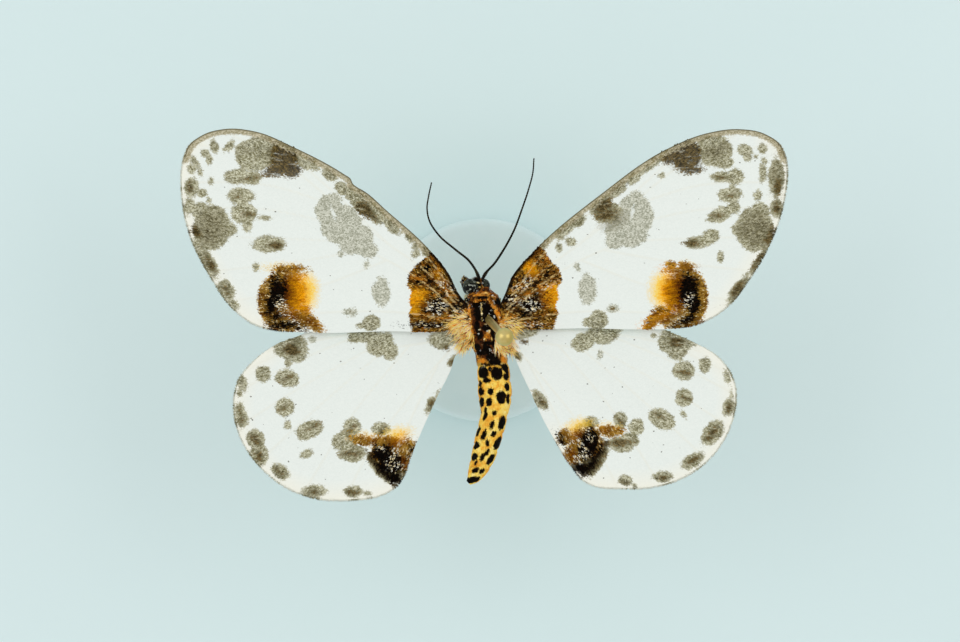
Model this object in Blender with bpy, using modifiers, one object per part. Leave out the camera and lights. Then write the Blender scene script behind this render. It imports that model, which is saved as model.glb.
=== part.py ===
"""A set magpie moth on its insect pin, which stands in a small round base.

Lengths are in millimetres and become metres where a mesh is made. +Z is up, +Y is
towards the head and +X is the moth's right. The origin is the middle of the base's
underside. A wing's plan uses two lengths: out, from the middle line to either side,
and fore, towards the head.
"""

import math

import bmesh
import bpy
import numpy as np
from mathutils import Matrix, Vector
from mathutils.geometry import delaunay_2d_cdt

MM = 0.001
GAP = 0.3
EYE_GAP = 0.2
PIN_CLEARANCE = 0.15

# The stand: a painted disc and the pin
BASE_RADIUS = 7.0
BASE_HEIGHT = 5.0
BASE_EDGE = 0.6
PIN_RADIUS = 0.25
PIN_LENGTH = 30.5
PIN_POINT_LENGTH = 1.6
PIN_BALL_RADIUS = 0.56
PIN_SUNK = 3.5
PIN_CROSSES_BACK_AT = (0.33, 0.0)
PIN_LEAN = (0.092, -0.102)

# Body sizes, as half extents across, along and up
BODY_LEVEL = 19.0
THORAX_CENTRE = (0.05, -0.22)
THORAX_HALF = (1.32, 1.5, 1.45)
THORAX_ROUNDNESS = 2.4
HEAD_CENTRE = (-0.5, 2.22)
HEAD_DROP = 0.05
HEAD_HALF = (0.42, 0.62, 0.75)
HEAD_YAW = -3.0
HEAD_ROLL = 28.0
EYE_RADIUS = 0.5
EYE_DOME = 0.38

# Lobes of the thorax, as (centre, half extents) from its middle: the collar and the two
# plates that cover the wing hinges
COLLAR = ((-0.25, 1.12, 0.55), (0.85, 0.3, 0.62))
TEGULA = ((0.74, 0.15, 0.92), (0.3, 1.05, 0.46))

# Hair locks behind the wing hinges, as (out, along, up) from the thorax's middle
LOCK_ROOTS = [(0.8, -0.78, 0.7), (0.75, -0.95, 0.68), (0.68, -1.08, 0.66)]
LOCK_TIPS = [(2.2, -1.25, 0.8), (2.0, -1.52, 0.76), (1.72, -1.75, 0.76)]
LOCK_LIFT = 0.1
LOCK_RADII = [0.25, 0.25, 0.17, 0.07]

# The abdomen's middle line (across, along, up from the body level) and its half width
ABDOMEN_LINE = [
    (0.42, -2.02, -0.15), (0.62, -3.5, -0.15), (0.73, -5.1, -0.2), (0.61, -6.7, -0.3),
    (0.25, -8.2, -0.45), (-0.24, -9.6, -0.6), (-1.0, -10.75, -0.75),
]
ABDOMEN_HALF_WIDTH = [0.9, 1.04, 1.08, 0.98, 0.92, 0.75, 0.22]
ABDOMEN_SEGMENTS = 8
SEGMENT_GROOVE = 0.09

# Wings
WING_THICKNESS = 0.5
VEIN_THICKNESS = 0.74
MARGIN_THICKNESS = 0.42
VEIN_FOOT = 0.24
FOREWING_LEVEL = BODY_LEVEL + 0.8
HINDWING_LEVEL = FOREWING_LEVEL - 1.05
HALF_SPAN = 20.0
WING_RISE = 0.055
WING_SAG = 0.45
WING_TWIST = -0.35
OUTLINE_STEPS = 3
LATTICE_PITCH = 2.0
LATTICE_CLEARANCE = 0.75

FOREWING_ROOT_SPAN = (0.85, -0.6)
HINDWING_ROOT_SPAN = (-0.3, -1.4)

# Plan knots (out, fore) from the front of the root, round the tip, to the back of the root
FOREWING_EDGE = {
    "left": [
        (1.72, 1.75), (2.3, 3.0), (3.9, 4.9), (8.05, 8.6), (12.5, 11.4), (15.0, 12.5), (17.0, 12.75),
        (18.6, 12.4), (19.6, 11.5), (20.0, 9.7), (19.9, 7.7), (19.4, 5.6), (18.0, 2.9),
        (16.8, 1.1), (15.2, -0.2), (13.1, -0.7), (10.6, -0.78), (6.5, -0.7), (3.0, -0.75),
    ],
    "right": [
        (1.42, 1.7), (1.85, 2.8), (3.4, 4.6), (7.7, 8.3), (12.0, 11.45), (14.6, 12.4), (16.8, 12.7),
        (18.5, 12.4), (19.6, 11.5), (20.0, 9.9), (19.8, 7.9), (19.1, 5.6), (17.4, 2.7),
        (16.1, 1.05), (14.6, 0.0), (12.6, -0.5), (10.4, -0.6), (6.5, -0.5), (3.0, -0.6),
    ],
}
HINDWING_FRONT_EDGE = {
    "left": [
        (3.2, 0.5), (6.5, 1.0), (9.8, 0.25), (12.2, -1.0), (13.9, -1.72), (15.3, -2.85),
        (16.25, -4.05), (16.5, -5.8), (16.1, -7.6), (14.9, -9.5), (13.1, -11.0),
        (10.9, -11.8), (8.7, -11.85), (7.0, -11.6), (5.8, -11.0),
    ],
    "right": [
        (3.2, 0.6), (6.5, 1.1), (9.8, 0.5), (12.2, -0.72), (13.9, -1.5), (15.4, -2.45),
        (16.35, -3.75), (16.6, -5.3), (16.15, -7.2), (14.9, -9.1), (13.2, -10.4),
        (10.9, -11.05), (8.8, -11.1), (7.4, -10.95), (6.5, -10.5),
    ],
}
HINDWING_INNER_EDGE = {
    "left": [(5.8, -11.0), (4.95, -9.5), (4.0, -7.2), (3.1, -5.1), (2.15, -3.2), (1.85, -2.2)],
    "right": [(6.5, -10.5), (5.2, -8.75), (4.0, -6.75), (2.95, -4.5), (2.15, -2.8), (1.95, -2.0)],
}

# Main veins, each as plan points (out, fore) from its start to near the margin
FOREWING_VEINS = {
    "subcosta": [(1.5, 1.0), (3.6, 4.0), (7.2, 7.3), (10.2, 9.9)],
    "radius_stem": [(1.5, 0.7), (3.7, 3.1), (6.3, 5.0), (9.6, 7.5)],
    "radius_1": [(6.3, 5.0), (9.9, 8.4), (13.2, 11.3)],
    "radius_3": [(9.6, 7.5), (12.8, 10.1), (16.6, 12.0)],
    "radius_4": [(12.8, 10.1), (16.0, 11.0), (18.8, 11.6)],
    "media_1": [(9.6, 7.5), (14.3, 8.9), (19.4, 9.1)],
    "media_2": [(9.6, 6.3), (14.4, 7.3), (19.3, 7.4)],
    "media_3": [(9.3, 5.2), (14.2, 5.4), (18.7, 5.5)],
    "discal_crossvein": [(9.6, 7.5), (9.6, 6.3), (9.3, 5.2)],
    "cubitus_stem": [(1.5, 0.35), (4.0, 2.5), (6.4, 3.95), (9.3, 5.2)],
    "cubitus_1": [(8.0, 4.6), (12.0, 3.9), (17.4, 3.4)],
    "cubitus_2": [(6.4, 3.95), (11.0, 2.2), (15.9, 1.5)],
    "anal": [(1.6, -0.1), (5.0, 0.45), (10.3, 0.5), (14.2, 0.25)],
}
HINDWING_VEINS = {
    "subcosta": [(1.7, -0.6), (5.0, 0.2), (9.5, -0.2), (13.9, -1.8)],
    "radius_stem": [(1.7, -0.85), (4.5, -0.7), (7.7, -0.8)],
    "radius_sector": [(7.7, -0.8), (11.6, -1.5), (15.2, -3.0)],
    "media_1": [(7.7, -0.8), (12.3, -2.7), (16.0, -4.6)],
    "media_3": [(7.7, -2.0), (12.2, -4.5), (15.9, -7.0)],
    "discal_crossvein": [(7.7, -0.8), (7.85, -1.4), (7.7, -2.0)],
    "cubitus_stem": [(1.7, -1.1), (4.4, -1.6), (7.7, -2.0)],
    "cubitus_1": [(6.4, -1.85), (10.8, -5.6), (14.4, -8.8)],
    "cubitus_2": [(4.9, -1.65), (8.5, -6.0), (11.4, -10.0)],
    "anal_2": [(1.7, -1.35), (4.6, -4.7), (7.6, -8.7), (8.7, -10.5)],
    "anal_3": [(3.1, -3.05), (4.4, -5.6), (5.7, -8.5), (6.4, -9.9)],
}
VEIN_STEPS = {"forewing": 3, "hindwing": 3}

# Feelers in plan (across, along) with their lift above the body level
ANTENNA_LINE = {
    "left": [
        (-0.6, 3.1, 0.45), (-0.98, 3.9, 0.65), (-1.85, 4.62, 0.8), (-3.0, 5.62, 0.95),
        (-3.62, 6.6, 1.05), (-3.76, 7.4, 1.1), (-3.65, 8.2, 1.1), (-3.46, 9.1, 1.05),
    ],
    "right": [
        (0.22, 3.05, 0.35), (0.66, 3.7, 0.55), (1.27, 4.6, 0.75), (2.0, 5.96, 0.9),
        (2.5, 7.3, 1.0), (2.95, 8.65, 1.05), (3.22, 9.7, 1.05), (3.3, 10.7, 1.0),
    ],
}
ANTENNA_RADIUS = (0.25, 0.13)

# Legs: hip, knee, shin end, foot end as (out, along, up from the body level)
LEG_LINES = {
    "front": [(0.68, 0.95, -1.72), (1.08, 1.3, -2.35), (1.08, 1.3, -3.4), (1.1, 1.4, -4.5)],
    "middle": [(0.95, -0.1, -1.8), (1.75, 0.55, -2.8), (1.55, -1.0, -3.7), (1.2, -1.9, -4.9)],
    "hind": [(0.55, -1.2, -1.75), (0.62, -2.7, -2.1), (0.55, -5.4, -2.0), (0.48, -8.0, -2.05)],
}
LEG_RADII = [0.3, 0.34, 0.27, 0.25, 0.25, 0.16]
LEG_SHIFT = {"front": -0.1, "middle": 0.1, "hind": 0.42}


def principled(name, colour, roughness, metallic=0.0):
    """One Principled material with the piece's plain colour."""
    material = bpy.data.materials.new(name)
    material.use_nodes = True
    shader = material.node_tree.nodes["Principled BSDF"]
    shader.inputs["Base Color"].default_value = (*colour, 1.0)
    shader.inputs["Roughness"].default_value = roughness
    shader.inputs["Metallic"].default_value = metallic
    material.diffuse_color = (*colour, 1.0)
    return material


def collection(name):
    made = bpy.data.collections.new(name)
    bpy.context.scene.collection.children.link(made)
    return made


def add_object(name, data, material, into):
    piece = bpy.data.objects.new(name, data)
    if material is not None:
        data.materials.append(material)
    into.objects.link(piece)
    return piece


def mesh_from_bmesh(name, shape):
    mesh = bpy.data.meshes.new(name)
    bmesh.ops.recalc_face_normals(shape, faces=shape.faces)
    shape.to_mesh(mesh)
    shape.free()
    mesh.shade_smooth()
    return mesh


def smooth_curve(knots, steps):
    """Points of a Catmull-Rom curve through the knots, with this many steps to a span."""
    knots = np.array(knots, float)
    ends = np.vstack([2 * knots[0] - knots[1], knots, 2 * knots[-1] - knots[-2]])
    points = [knots[0]]
    for before, start, stop, after in zip(ends[:-3], ends[1:-2], ends[2:-1], ends[3:]):
        for step in range(1, steps + 1):
            t = step / steps
            points.append(0.5 * (
                2 * start
                + (stop - before) * t
                + (2 * before - 5 * start + 4 * stop - after) * t**2
                + (3 * start - before - 3 * stop + after) * t**3
            ))
    return np.array(points)


def super_ellipsoid(name, half, roundness, columns, rows):
    """A UV sphere whose points are moved out to |x/a|^n + |y/b|^n + |z/c|^n = 1."""
    shape = bmesh.new()
    bmesh.ops.create_uvsphere(shape, u_segments=columns, v_segments=rows, radius=1.0)
    for vertex in shape.verts:
        size = sum(abs(value) ** roundness for value in vertex.co) ** (1 / roundness)
        vertex.co = Vector(value / size * extent * MM for value, extent in zip(vertex.co, half))
    return mesh_from_bmesh(name, shape)


def thorax_half_width(along, above):
    """How far the thorax reaches to either side at a place along and above its middle."""
    a, b, c = THORAX_HALF
    n = THORAX_ROUNDNESS
    left = 1 - abs((along - THORAX_CENTRE[1]) / b) ** n - abs(above / c) ** n
    return a * max(left, 0.0) ** (1 / n)


def pin_line():
    """The pin's lower end and its unit direction, worked out from where it leaves the back."""
    direction = Vector((PIN_LEAN[0], PIN_LEAN[1], 1.0)).normalized()
    back = Vector((*PIN_CROSSES_BACK_AT, BODY_LEVEL + THORAX_HALF[2]))
    foot_height = BASE_HEIGHT - PIN_SUNK
    foot = back - direction * ((back.z - foot_height) / direction.z)
    return foot, direction


def pin_placement():
    foot, direction = pin_line()
    turn = direction.to_track_quat("Z", "Y").to_matrix().to_4x4()
    return Matrix.Translation(foot * MM) @ turn


def make_cutter(name, radius, length, placement, into):
    shape = bmesh.new()
    bmesh.ops.create_cone(
        shape, cap_ends=True, segments=16, radius1=radius * MM, radius2=radius * MM, depth=length * MM
    )
    bmesh.ops.translate(shape, verts=shape.verts, vec=(0, 0, length * MM / 2))
    cutter = add_object(name, mesh_from_bmesh(name, shape), None, into)
    cutter.matrix_world = placement
    cutter.hide_render = True
    cutter.display_type = "WIRE"
    return cutter


def cut_with(piece, cutter):
    cut = piece.modifiers.new("pin_hole", "BOOLEAN")
    cut.operation = "DIFFERENCE"
    cut.object = cutter
    cut.solver = "EXACT"


def make_base(material, into):
    """A disc with softened edges. The pin's point goes into a narrow hole in its top."""
    shape = bmesh.new()
    bmesh.ops.create_cone(
        shape, cap_ends=True, segments=40, radius1=BASE_RADIUS * MM, radius2=BASE_RADIUS * MM,
        depth=BASE_HEIGHT * MM,
    )
    rims = [edge for edge in shape.edges if abs(edge.verts[0].co.z - edge.verts[1].co.z) < MM / 10]
    bmesh.ops.bevel(shape, geom=rims, offset=BASE_EDGE * MM, segments=2, profile=0.5, affect="EDGES")
    bmesh.ops.translate(shape, verts=shape.verts, vec=(0, 0, BASE_HEIGHT * MM / 2))
    return add_object("stand_base", mesh_from_bmesh("stand_base", shape), material, into)


def make_pin(material, into):
    """A turned pin: a point, a straight shaft and a ball on top, as one profile."""
    ball_middle = PIN_LENGTH - PIN_BALL_RADIUS
    neck_angle = math.asin(PIN_RADIUS / PIN_BALL_RADIUS)
    angles = np.linspace(0, math.pi - neck_angle, 9)
    ball = [
        (PIN_BALL_RADIUS * math.sin(angle), ball_middle + PIN_BALL_RADIUS * math.cos(angle))
        for angle in angles
    ]
    profile = ball + [(PIN_RADIUS, PIN_POINT_LENGTH), (PIN_RADIUS * 0.3, 0.1), (0.0, 0.0)]
    mesh = bpy.data.meshes.new("stand_pin")
    mesh.from_pydata(
        [(x * MM, 0, z * MM) for x, z in profile], [(i, i + 1) for i in range(len(profile) - 1)], []
    )
    pin = add_object("stand_pin", mesh, material, into)
    turned = pin.modifiers.new("turned", "SCREW")
    turned.steps = 16
    turned.render_steps = 16
    turned.use_merge_vertices = True
    turned.merge_threshold = 0.00001
    pin.matrix_world = pin_placement()
    return pin


def tube(name, path, radii, material, into, resolution=2):
    """A round bar along the path, in millimetres, with its own radius at each point."""
    curve = bpy.data.curves.new(name, "CURVE")
    curve.dimensions = "3D"
    curve.bevel_depth = MM
    curve.bevel_resolution = resolution
    curve.use_fill_caps = True
    spline = curve.splines.new("POLY")
    spline.points.add(len(path) - 1)
    for point, place, radius in zip(spline.points, path, radii):
        point.co = (*(value * MM for value in place), 1.0)
        point.radius = radius
    return add_object(name, curve, material, into)


def spread(values, count):
    """The values laid evenly along a line and read at this many even places."""
    return np.interp(np.linspace(0, 1, count), np.linspace(0, 1, len(values)), values)


def curve_to_mesh(piece, material, into):
    """The curve as a closed mesh object with its caps welded on; the curve itself goes."""
    name = piece.name
    depsgraph = bpy.context.evaluated_depsgraph_get()
    mesh = bpy.data.meshes.new_from_object(piece.evaluated_get(depsgraph))
    bpy.data.objects.remove(piece)
    shape = bmesh.new()
    shape.from_mesh(mesh)
    bmesh.ops.remove_doubles(shape, verts=shape.verts, dist=0.001 * MM)
    shape.to_mesh(mesh)
    shape.free()
    mesh.materials.clear()
    return add_object(name, mesh, material, into)


def fuse(piece, extras):
    """Joins the extra closed pieces to the first one for good, so that one body is left."""
    union = piece.modifiers.new("fuse", "BOOLEAN")
    union.operation = "UNION"
    union.operand_type = "COLLECTION"
    union.collection = extras
    union.solver = "EXACT"
    bpy.context.view_layer.update()
    depsgraph = bpy.context.evaluated_depsgraph_get()
    joined = bpy.data.meshes.new_from_object(piece.evaluated_get(depsgraph))
    piece.modifiers.remove(union)
    piece.data = joined
    for extra in list(extras.objects):
        bpy.data.objects.remove(extra)
    bpy.data.collections.remove(extras)


def make_lobe(name, centre, half, material, into):
    """A rounded lump that stands out of the thorax's surface."""
    lobe = add_object(name, super_ellipsoid(name, half, 2.0, 14, 10), material, into)
    lobe.location = (Vector((*THORAX_CENTRE, BODY_LEVEL)) + Vector(centre)) * MM


def make_lock(name, root, tip, material, into):
    """A tapered hair lock that leaves the thorax, arches a little and lies back towards its tip."""
    middle = Vector((*THORAX_CENTRE, BODY_LEVEL))
    start = Vector(root)
    stop = Vector(tip)
    crown = (start + stop) / 2 + Vector((0, 0, LOCK_LIFT))
    path = smooth_curve([start, crown, stop], 3) + np.array(middle)
    lock = tube(name, path, spread(LOCK_RADII, len(path)), material, into, resolution=1)
    curve_to_mesh(lock, material, into)


def make_thorax(material, into):
    """The thorax with its collar, the plates over the wing hinges and the locks behind them."""
    thorax = add_object(
        "thorax", super_ellipsoid("thorax", THORAX_HALF, THORAX_ROUNDNESS, 22, 14), material, into
    )
    thorax.location = Vector((*THORAX_CENTRE, BODY_LEVEL)) * MM
    extras = collection("thorax_extras")
    make_lobe("collar", *COLLAR, material, extras)
    for sign in (-1, 1):
        (out, along, up), half = TEGULA
        make_lobe(f"tegula_{sign}", (sign * out, along, up), half, material, extras)
        for index, (root, tip) in enumerate(zip(LOCK_ROOTS, LOCK_TIPS)):
            root, tip = ((sign * place[0], *place[1:]) for place in (root, tip))
            make_lock(f"lock_{index}_{sign}", root, tip, material, extras)
    fuse(thorax, extras)
    return thorax


def make_abdomen(material, into):
    """A bar along the bent middle line, pinched at each joint between two segments."""
    points_a_segment = 3
    count = ABDOMEN_SEGMENTS * points_a_segment + 1
    line = smooth_curve(ABDOMEN_LINE, 12)
    path = np.column_stack([spread(line[:, axis], count) for axis in range(3)])
    path[:, 2] += BODY_LEVEL
    radii = spread(smooth_curve([(w, 0) for w in ABDOMEN_HALF_WIDTH], 4)[:, 0], count)
    pinched = np.arange(count) % points_a_segment == 0
    pinched[[0, -1]] = False
    radii = radii - SEGMENT_GROOVE * pinched
    return tube("abdomen", path, radii, material, into, resolution=5)


def head_placement():
    turn = Matrix.Rotation(math.radians(HEAD_YAW), 4, "Z") @ Matrix.Rotation(math.radians(HEAD_ROLL), 4, "Y")
    centre = Vector((*HEAD_CENTRE, BODY_LEVEL - HEAD_DROP)) * MM
    return Matrix.Translation(centre) @ turn


def make_head(material, into):
    head = add_object("head", super_ellipsoid("head", HEAD_HALF, 2.6, 16, 12), material, into)
    head.matrix_world = head_placement()
    return head


def make_eye(side, sign, material, into):
    """A dome with a flat inner face that stands a gap clear of the head's side."""
    shape = bmesh.new()
    bmesh.ops.create_uvsphere(shape, u_segments=14, v_segments=10, radius=EYE_RADIUS * MM)
    bmesh.ops.scale(shape, verts=shape.verts, vec=(EYE_DOME / EYE_RADIUS, 1, 1.15))
    inner = 0.02 * MM
    bmesh.ops.bisect_plane(
        shape, geom=[*shape.verts, *shape.edges, *shape.faces], plane_co=(sign * inner, 0, 0),
        plane_no=(-sign, 0, 0), clear_outer=True,
    )
    open_rim = [edge for edge in shape.edges if edge.is_boundary]
    bmesh.ops.contextual_create(shape, geom=open_rim)
    offset = sign * (HEAD_HALF[0] + EYE_GAP) * MM
    bmesh.ops.translate(shape, verts=shape.verts, vec=(offset, 0.06 * MM, 0.05 * MM))
    eye = add_object(f"eye_{side}", mesh_from_bmesh(f"eye_{side}", shape), material, into)
    eye.matrix_world = head_placement()
    return eye


def in_head(points):
    """Places given from the head's middle, turned and moved with the head."""
    placed = head_placement()
    return [tuple(placed @ (Vector(point) * MM) / MM) for point in points]


def make_palp(side, sign, material, into):
    """A short scaled palp that runs forward under the head, below the eye."""
    path = in_head([
        (sign * 0.58, -0.28, -1.02), (sign * 0.64, 0.0, -1.06), (sign * 0.64, 0.3, -1.02),
        (sign * 0.58, 0.56, -0.88),
    ])
    return tube(f"palp_{side}", path, [0.2, 0.24, 0.2, 0.1], material, into, resolution=1)


def make_proboscis(material, into):
    """The tongue, wound up under the mouth."""
    turns = np.linspace(0.15 * math.pi, 1.6 * math.pi, 12)
    radius = np.linspace(0.38, 0.32, len(turns))
    path = in_head([
        (0.0, 0.15 + r * math.cos(turn), -1.66 - r * math.sin(turn)) for turn, r in zip(turns, radius)
    ])
    return tube("proboscis", path, spread([0.2, 0.12], len(turns)), material, into, resolution=1)


def make_antenna(side, material, into):
    path = smooth_curve(ANTENNA_LINE[side], 3)
    path[:, 2] += BODY_LEVEL
    return tube(f"antenna_{side}", path, spread(ANTENNA_RADIUS, len(path)), material, into, resolution=1)


def make_leg(pair, side, sign, material, into):
    """Hip, thigh, shin and foot as one bar that bends at the knee and the heel."""
    knots = np.array(LEG_LINES[pair])
    path = smooth_curve(knots, 4)
    path[:, 0] = sign * path[:, 0] + LEG_SHIFT[pair]
    path[:, 2] += BODY_LEVEL
    return tube(f"leg_{pair}_{side}", path, spread(LEG_RADII, len(path)), material, into)


def sheet_height(out, fore):
    """How far a wing's middle surface stands above its root: a slow rise that levels off."""
    share = out / HALF_SPAN
    return WING_RISE * out - WING_SAG * share**2 + WING_TWIST * share * fore / HALF_SPAN


def root_edge(span, level):
    """The wing's inner edge: it follows the thorax's side at the wing's height, a gap away."""
    below = level - WING_THICKNESS / 2 - BODY_LEVEL
    above = level + WING_THICKNESS / 2 - BODY_LEVEL
    nearest = min(abs(below), abs(above)) if below * above > 0 else 0.0
    return [
        (thorax_half_width(along, nearest) + GAP + THORAX_CENTRE[0], along)
        for along in np.linspace(*span, 5)
    ]


def distance_to_lines(points, lines):
    """The distance from each point to the nearest stretch of any of the lines, in plan."""
    points = np.asarray(points, float)
    nearest = np.full(len(points), np.inf)
    for line in lines:
        for start, stop in zip(line[:-1], line[1:]):
            along = stop - start
            share = np.clip(((points - start) @ along) / (along @ along), 0, 1)
            apart = np.linalg.norm(points - (start + share[:, None] * along), axis=1)
            nearest = np.minimum(nearest, apart)
    return nearest


def beside(line, offset):
    """The line moved sideways by the offset, in plan."""
    heading = np.gradient(line, axis=0)
    heading /= np.linalg.norm(heading, axis=1)[:, None]
    return line + offset * np.column_stack([-heading[:, 1], heading[:, 0]])


def lattice(outline):
    """Evenly spread points over the outline's box, every second row half a pitch across."""
    low, high = outline.min(axis=0), outline.max(axis=0)
    rows = np.arange(low[1], high[1], LATTICE_PITCH * math.sqrt(3) / 2)
    return np.array([
        (across + (index % 2) * LATTICE_PITCH / 2, along)
        for index, along in enumerate(rows)
        for across in np.arange(low[0], high[0], LATTICE_PITCH)
    ])


def wing_net(outline, crests):
    """Triangles that fill the outline, with edges along each vein's crest and its two feet."""
    feet = [beside(crest, offset)[1:] for crest in crests for offset in (VEIN_FOOT, -VEIN_FOOT)]
    clear = lattice(outline)
    clear = clear[distance_to_lines(clear, [*crests, outline]) > LATTICE_CLEARANCE]
    points = [Vector(point) for point in outline]
    edges = []
    for line in [*crests, *feet]:
        start = len(points)
        points += [Vector(point) for point in line]
        edges += [(start + i, start + i + 1) for i in range(len(line) - 1)]
    points += [Vector(point) for point in clear]
    border = [list(range(len(outline)))]
    inside_the_border = 1
    merge_within = 0.06
    found = delaunay_2d_cdt(points, edges, border, inside_the_border, merge_within)
    return np.array(found[0]), found[2]


def make_wing(kind, side, sign, edge_lines, root, level, veins, material, into):
    """A thin sheet over the plan outline, made solid with a thickness that swells at the veins."""
    curves = [smooth_curve(line, OUTLINE_STEPS) for line in edge_lines]
    outline = np.vstack([np.array(root)[::-1], *curves])
    keep = np.linalg.norm(outline - np.roll(outline, 1, axis=0), axis=1) > 0.05
    outline = outline[keep]
    crests = [smooth_curve(line, VEIN_STEPS[kind]) for line in veins.values()]
    plan, triangles = wing_net(outline, crests)
    height = level + sheet_height(plan[:, 0], plan[:, 1])
    mesh = bpy.data.meshes.new(f"{kind}_{side}")
    mesh.from_pydata(np.column_stack([sign * plan[:, 0], plan[:, 1], height]) * MM, [], triangles)
    mesh.shade_smooth()
    wing = add_object(f"{kind}_{side}", mesh, material, into)
    if sign < 0:
        mesh.flip_normals()

    near_vein = np.clip(1 - distance_to_lines(plan, crests) / VEIN_FOOT, 0, 1)
    margin = np.vstack(curves)
    near_margin = distance_to_lines(plan, [margin]) < 0.05
    thickness = WING_THICKNESS + (VEIN_THICKNESS - WING_THICKNESS) * near_vein
    thickness = np.where(near_margin, MARGIN_THICKNESS, thickness)
    group = wing.vertex_groups.new(name="thickness")
    for index, value in enumerate(thickness / VEIN_THICKNESS):
        group.add([index], float(value), "REPLACE")
    solid = wing.modifiers.new("solid", "SOLIDIFY")
    solid.thickness = VEIN_THICKNESS * MM
    solid.offset = 0.0
    solid.use_even_offset = False
    solid.vertex_group = group.name
    return wing


def make_wings(material, into):
    fore_root = root_edge(FOREWING_ROOT_SPAN, FOREWING_LEVEL)
    hind_root = root_edge(HINDWING_ROOT_SPAN, HINDWING_LEVEL)
    for side, sign in (("left", -1), ("right", 1)):
        fore_edge = [fore_root[0], *FOREWING_EDGE[side], fore_root[-1]]
        make_wing(
            "forewing", side, sign, [fore_edge], fore_root, FOREWING_LEVEL, FOREWING_VEINS, material, into
        )
        front = [hind_root[0], *HINDWING_FRONT_EDGE[side]]
        inner = [*HINDWING_INNER_EDGE[side], hind_root[-1]]
        make_wing(
            "hindwing", side, sign, [front, inner], hind_root, HINDWING_LEVEL, HINDWING_VEINS, material, into
        )


def main():
    for existing in list(bpy.data.objects):
        bpy.data.objects.remove(existing)
    moth = collection("pinned_moth")
    cutters = collection("cutters")

    paint = principled("base_paint", (0.84, 0.89, 0.9), 0.85)
    brass = principled("pin_metal", (0.55, 0.47, 0.25), 0.35, 1.0)
    wing_white = principled("wing_scales", (0.88, 0.9, 0.88), 0.7)
    orange_fur = principled("body_scales", (0.72, 0.42, 0.1), 0.8)
    dark = principled("dark_cuticle", (0.05, 0.045, 0.04), 0.5)
    eye_black = principled("eye", (0.06, 0.06, 0.055), 0.25)

    base = make_base(paint, moth)
    make_pin(brass, moth)
    thorax = make_thorax(orange_fur, moth)
    below = Matrix.Translation(pin_line()[1] * -GAP * MM) @ pin_placement()
    bore = make_cutter("pin_bore", PIN_RADIUS + PIN_CLEARANCE, PIN_LENGTH, below, cutters)
    cut_with(thorax, bore)
    cut_with(base, bore)

    make_abdomen(orange_fur, moth)
    make_head(orange_fur, moth)
    make_proboscis(dark, moth)
    for side, sign in (("left", -1), ("right", 1)):
        make_eye(side, sign, eye_black, moth)
        make_palp(side, sign, orange_fur, moth)
        make_antenna(side, dark, moth)
        for pair in LEG_LINES:
            make_leg(pair, side, sign, dark, moth)
    make_wings(wing_white, moth)


main()
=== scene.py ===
"""A set magpie moth on its pin: the finished surfaces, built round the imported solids.

Run it with blender --background --python scene.py. Every shape is a surface worked out with
numpy: a function of two parameters on a grid, or a profile carried along a path. Lengths in
the tables are millimetres and become metres where a mesh is made. A wing's plan uses two
lengths: out, from the middle line to either side, and fore, towards the head.
"""

import math

import bpy
import numpy as np
from bpy.props import FloatProperty, FloatVectorProperty, IntProperty, PointerProperty
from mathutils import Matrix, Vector


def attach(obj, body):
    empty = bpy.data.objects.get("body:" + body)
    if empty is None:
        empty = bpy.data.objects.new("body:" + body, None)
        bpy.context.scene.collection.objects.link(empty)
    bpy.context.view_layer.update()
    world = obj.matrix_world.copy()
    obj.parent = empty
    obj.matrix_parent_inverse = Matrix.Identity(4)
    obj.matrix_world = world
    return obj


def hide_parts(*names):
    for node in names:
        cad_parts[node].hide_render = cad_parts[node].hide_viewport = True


bl_info = {
    "name": "Pinned moth",
    "version": (1, 0, 0),
    "blender": (4, 5, 0),
    "location": "3D View > Sidebar > Moth",
    "description": "Builds a set magpie moth with its scales, hair, pin and stand",
    "category": "Add Mesh",
}

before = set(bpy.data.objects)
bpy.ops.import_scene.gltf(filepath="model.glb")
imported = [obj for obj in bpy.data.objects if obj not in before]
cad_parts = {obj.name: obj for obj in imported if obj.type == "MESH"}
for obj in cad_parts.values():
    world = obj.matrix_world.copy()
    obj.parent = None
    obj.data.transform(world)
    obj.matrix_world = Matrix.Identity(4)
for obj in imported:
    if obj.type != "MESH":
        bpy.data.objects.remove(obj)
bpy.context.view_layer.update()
MM = 0.001
SIDES = {"left": -1, "right": 1}
SEED = 4071

# Levels and places shared with the solids, in millimetres
BODY_LEVEL = 19.0
FOREWING_LEVEL = BODY_LEVEL + 0.6
HINDWING_LEVEL = BODY_LEVEL + 0.02
HALF_SPAN = 20.0
WING_RISE, WING_SAG, WING_TWIST = 0.055, 0.45, -0.35
PIN_CROSSES_BACK_AT = (0.33, 0.0)
BACK_LEVEL = BODY_LEVEL + 1.45
PIN_LEAN = (0.092, -0.102)
BASE_TOP = 5.0

# The depth, in millimetres, of a place that is far outside every mark
OUTSIDE = -3.0

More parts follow.
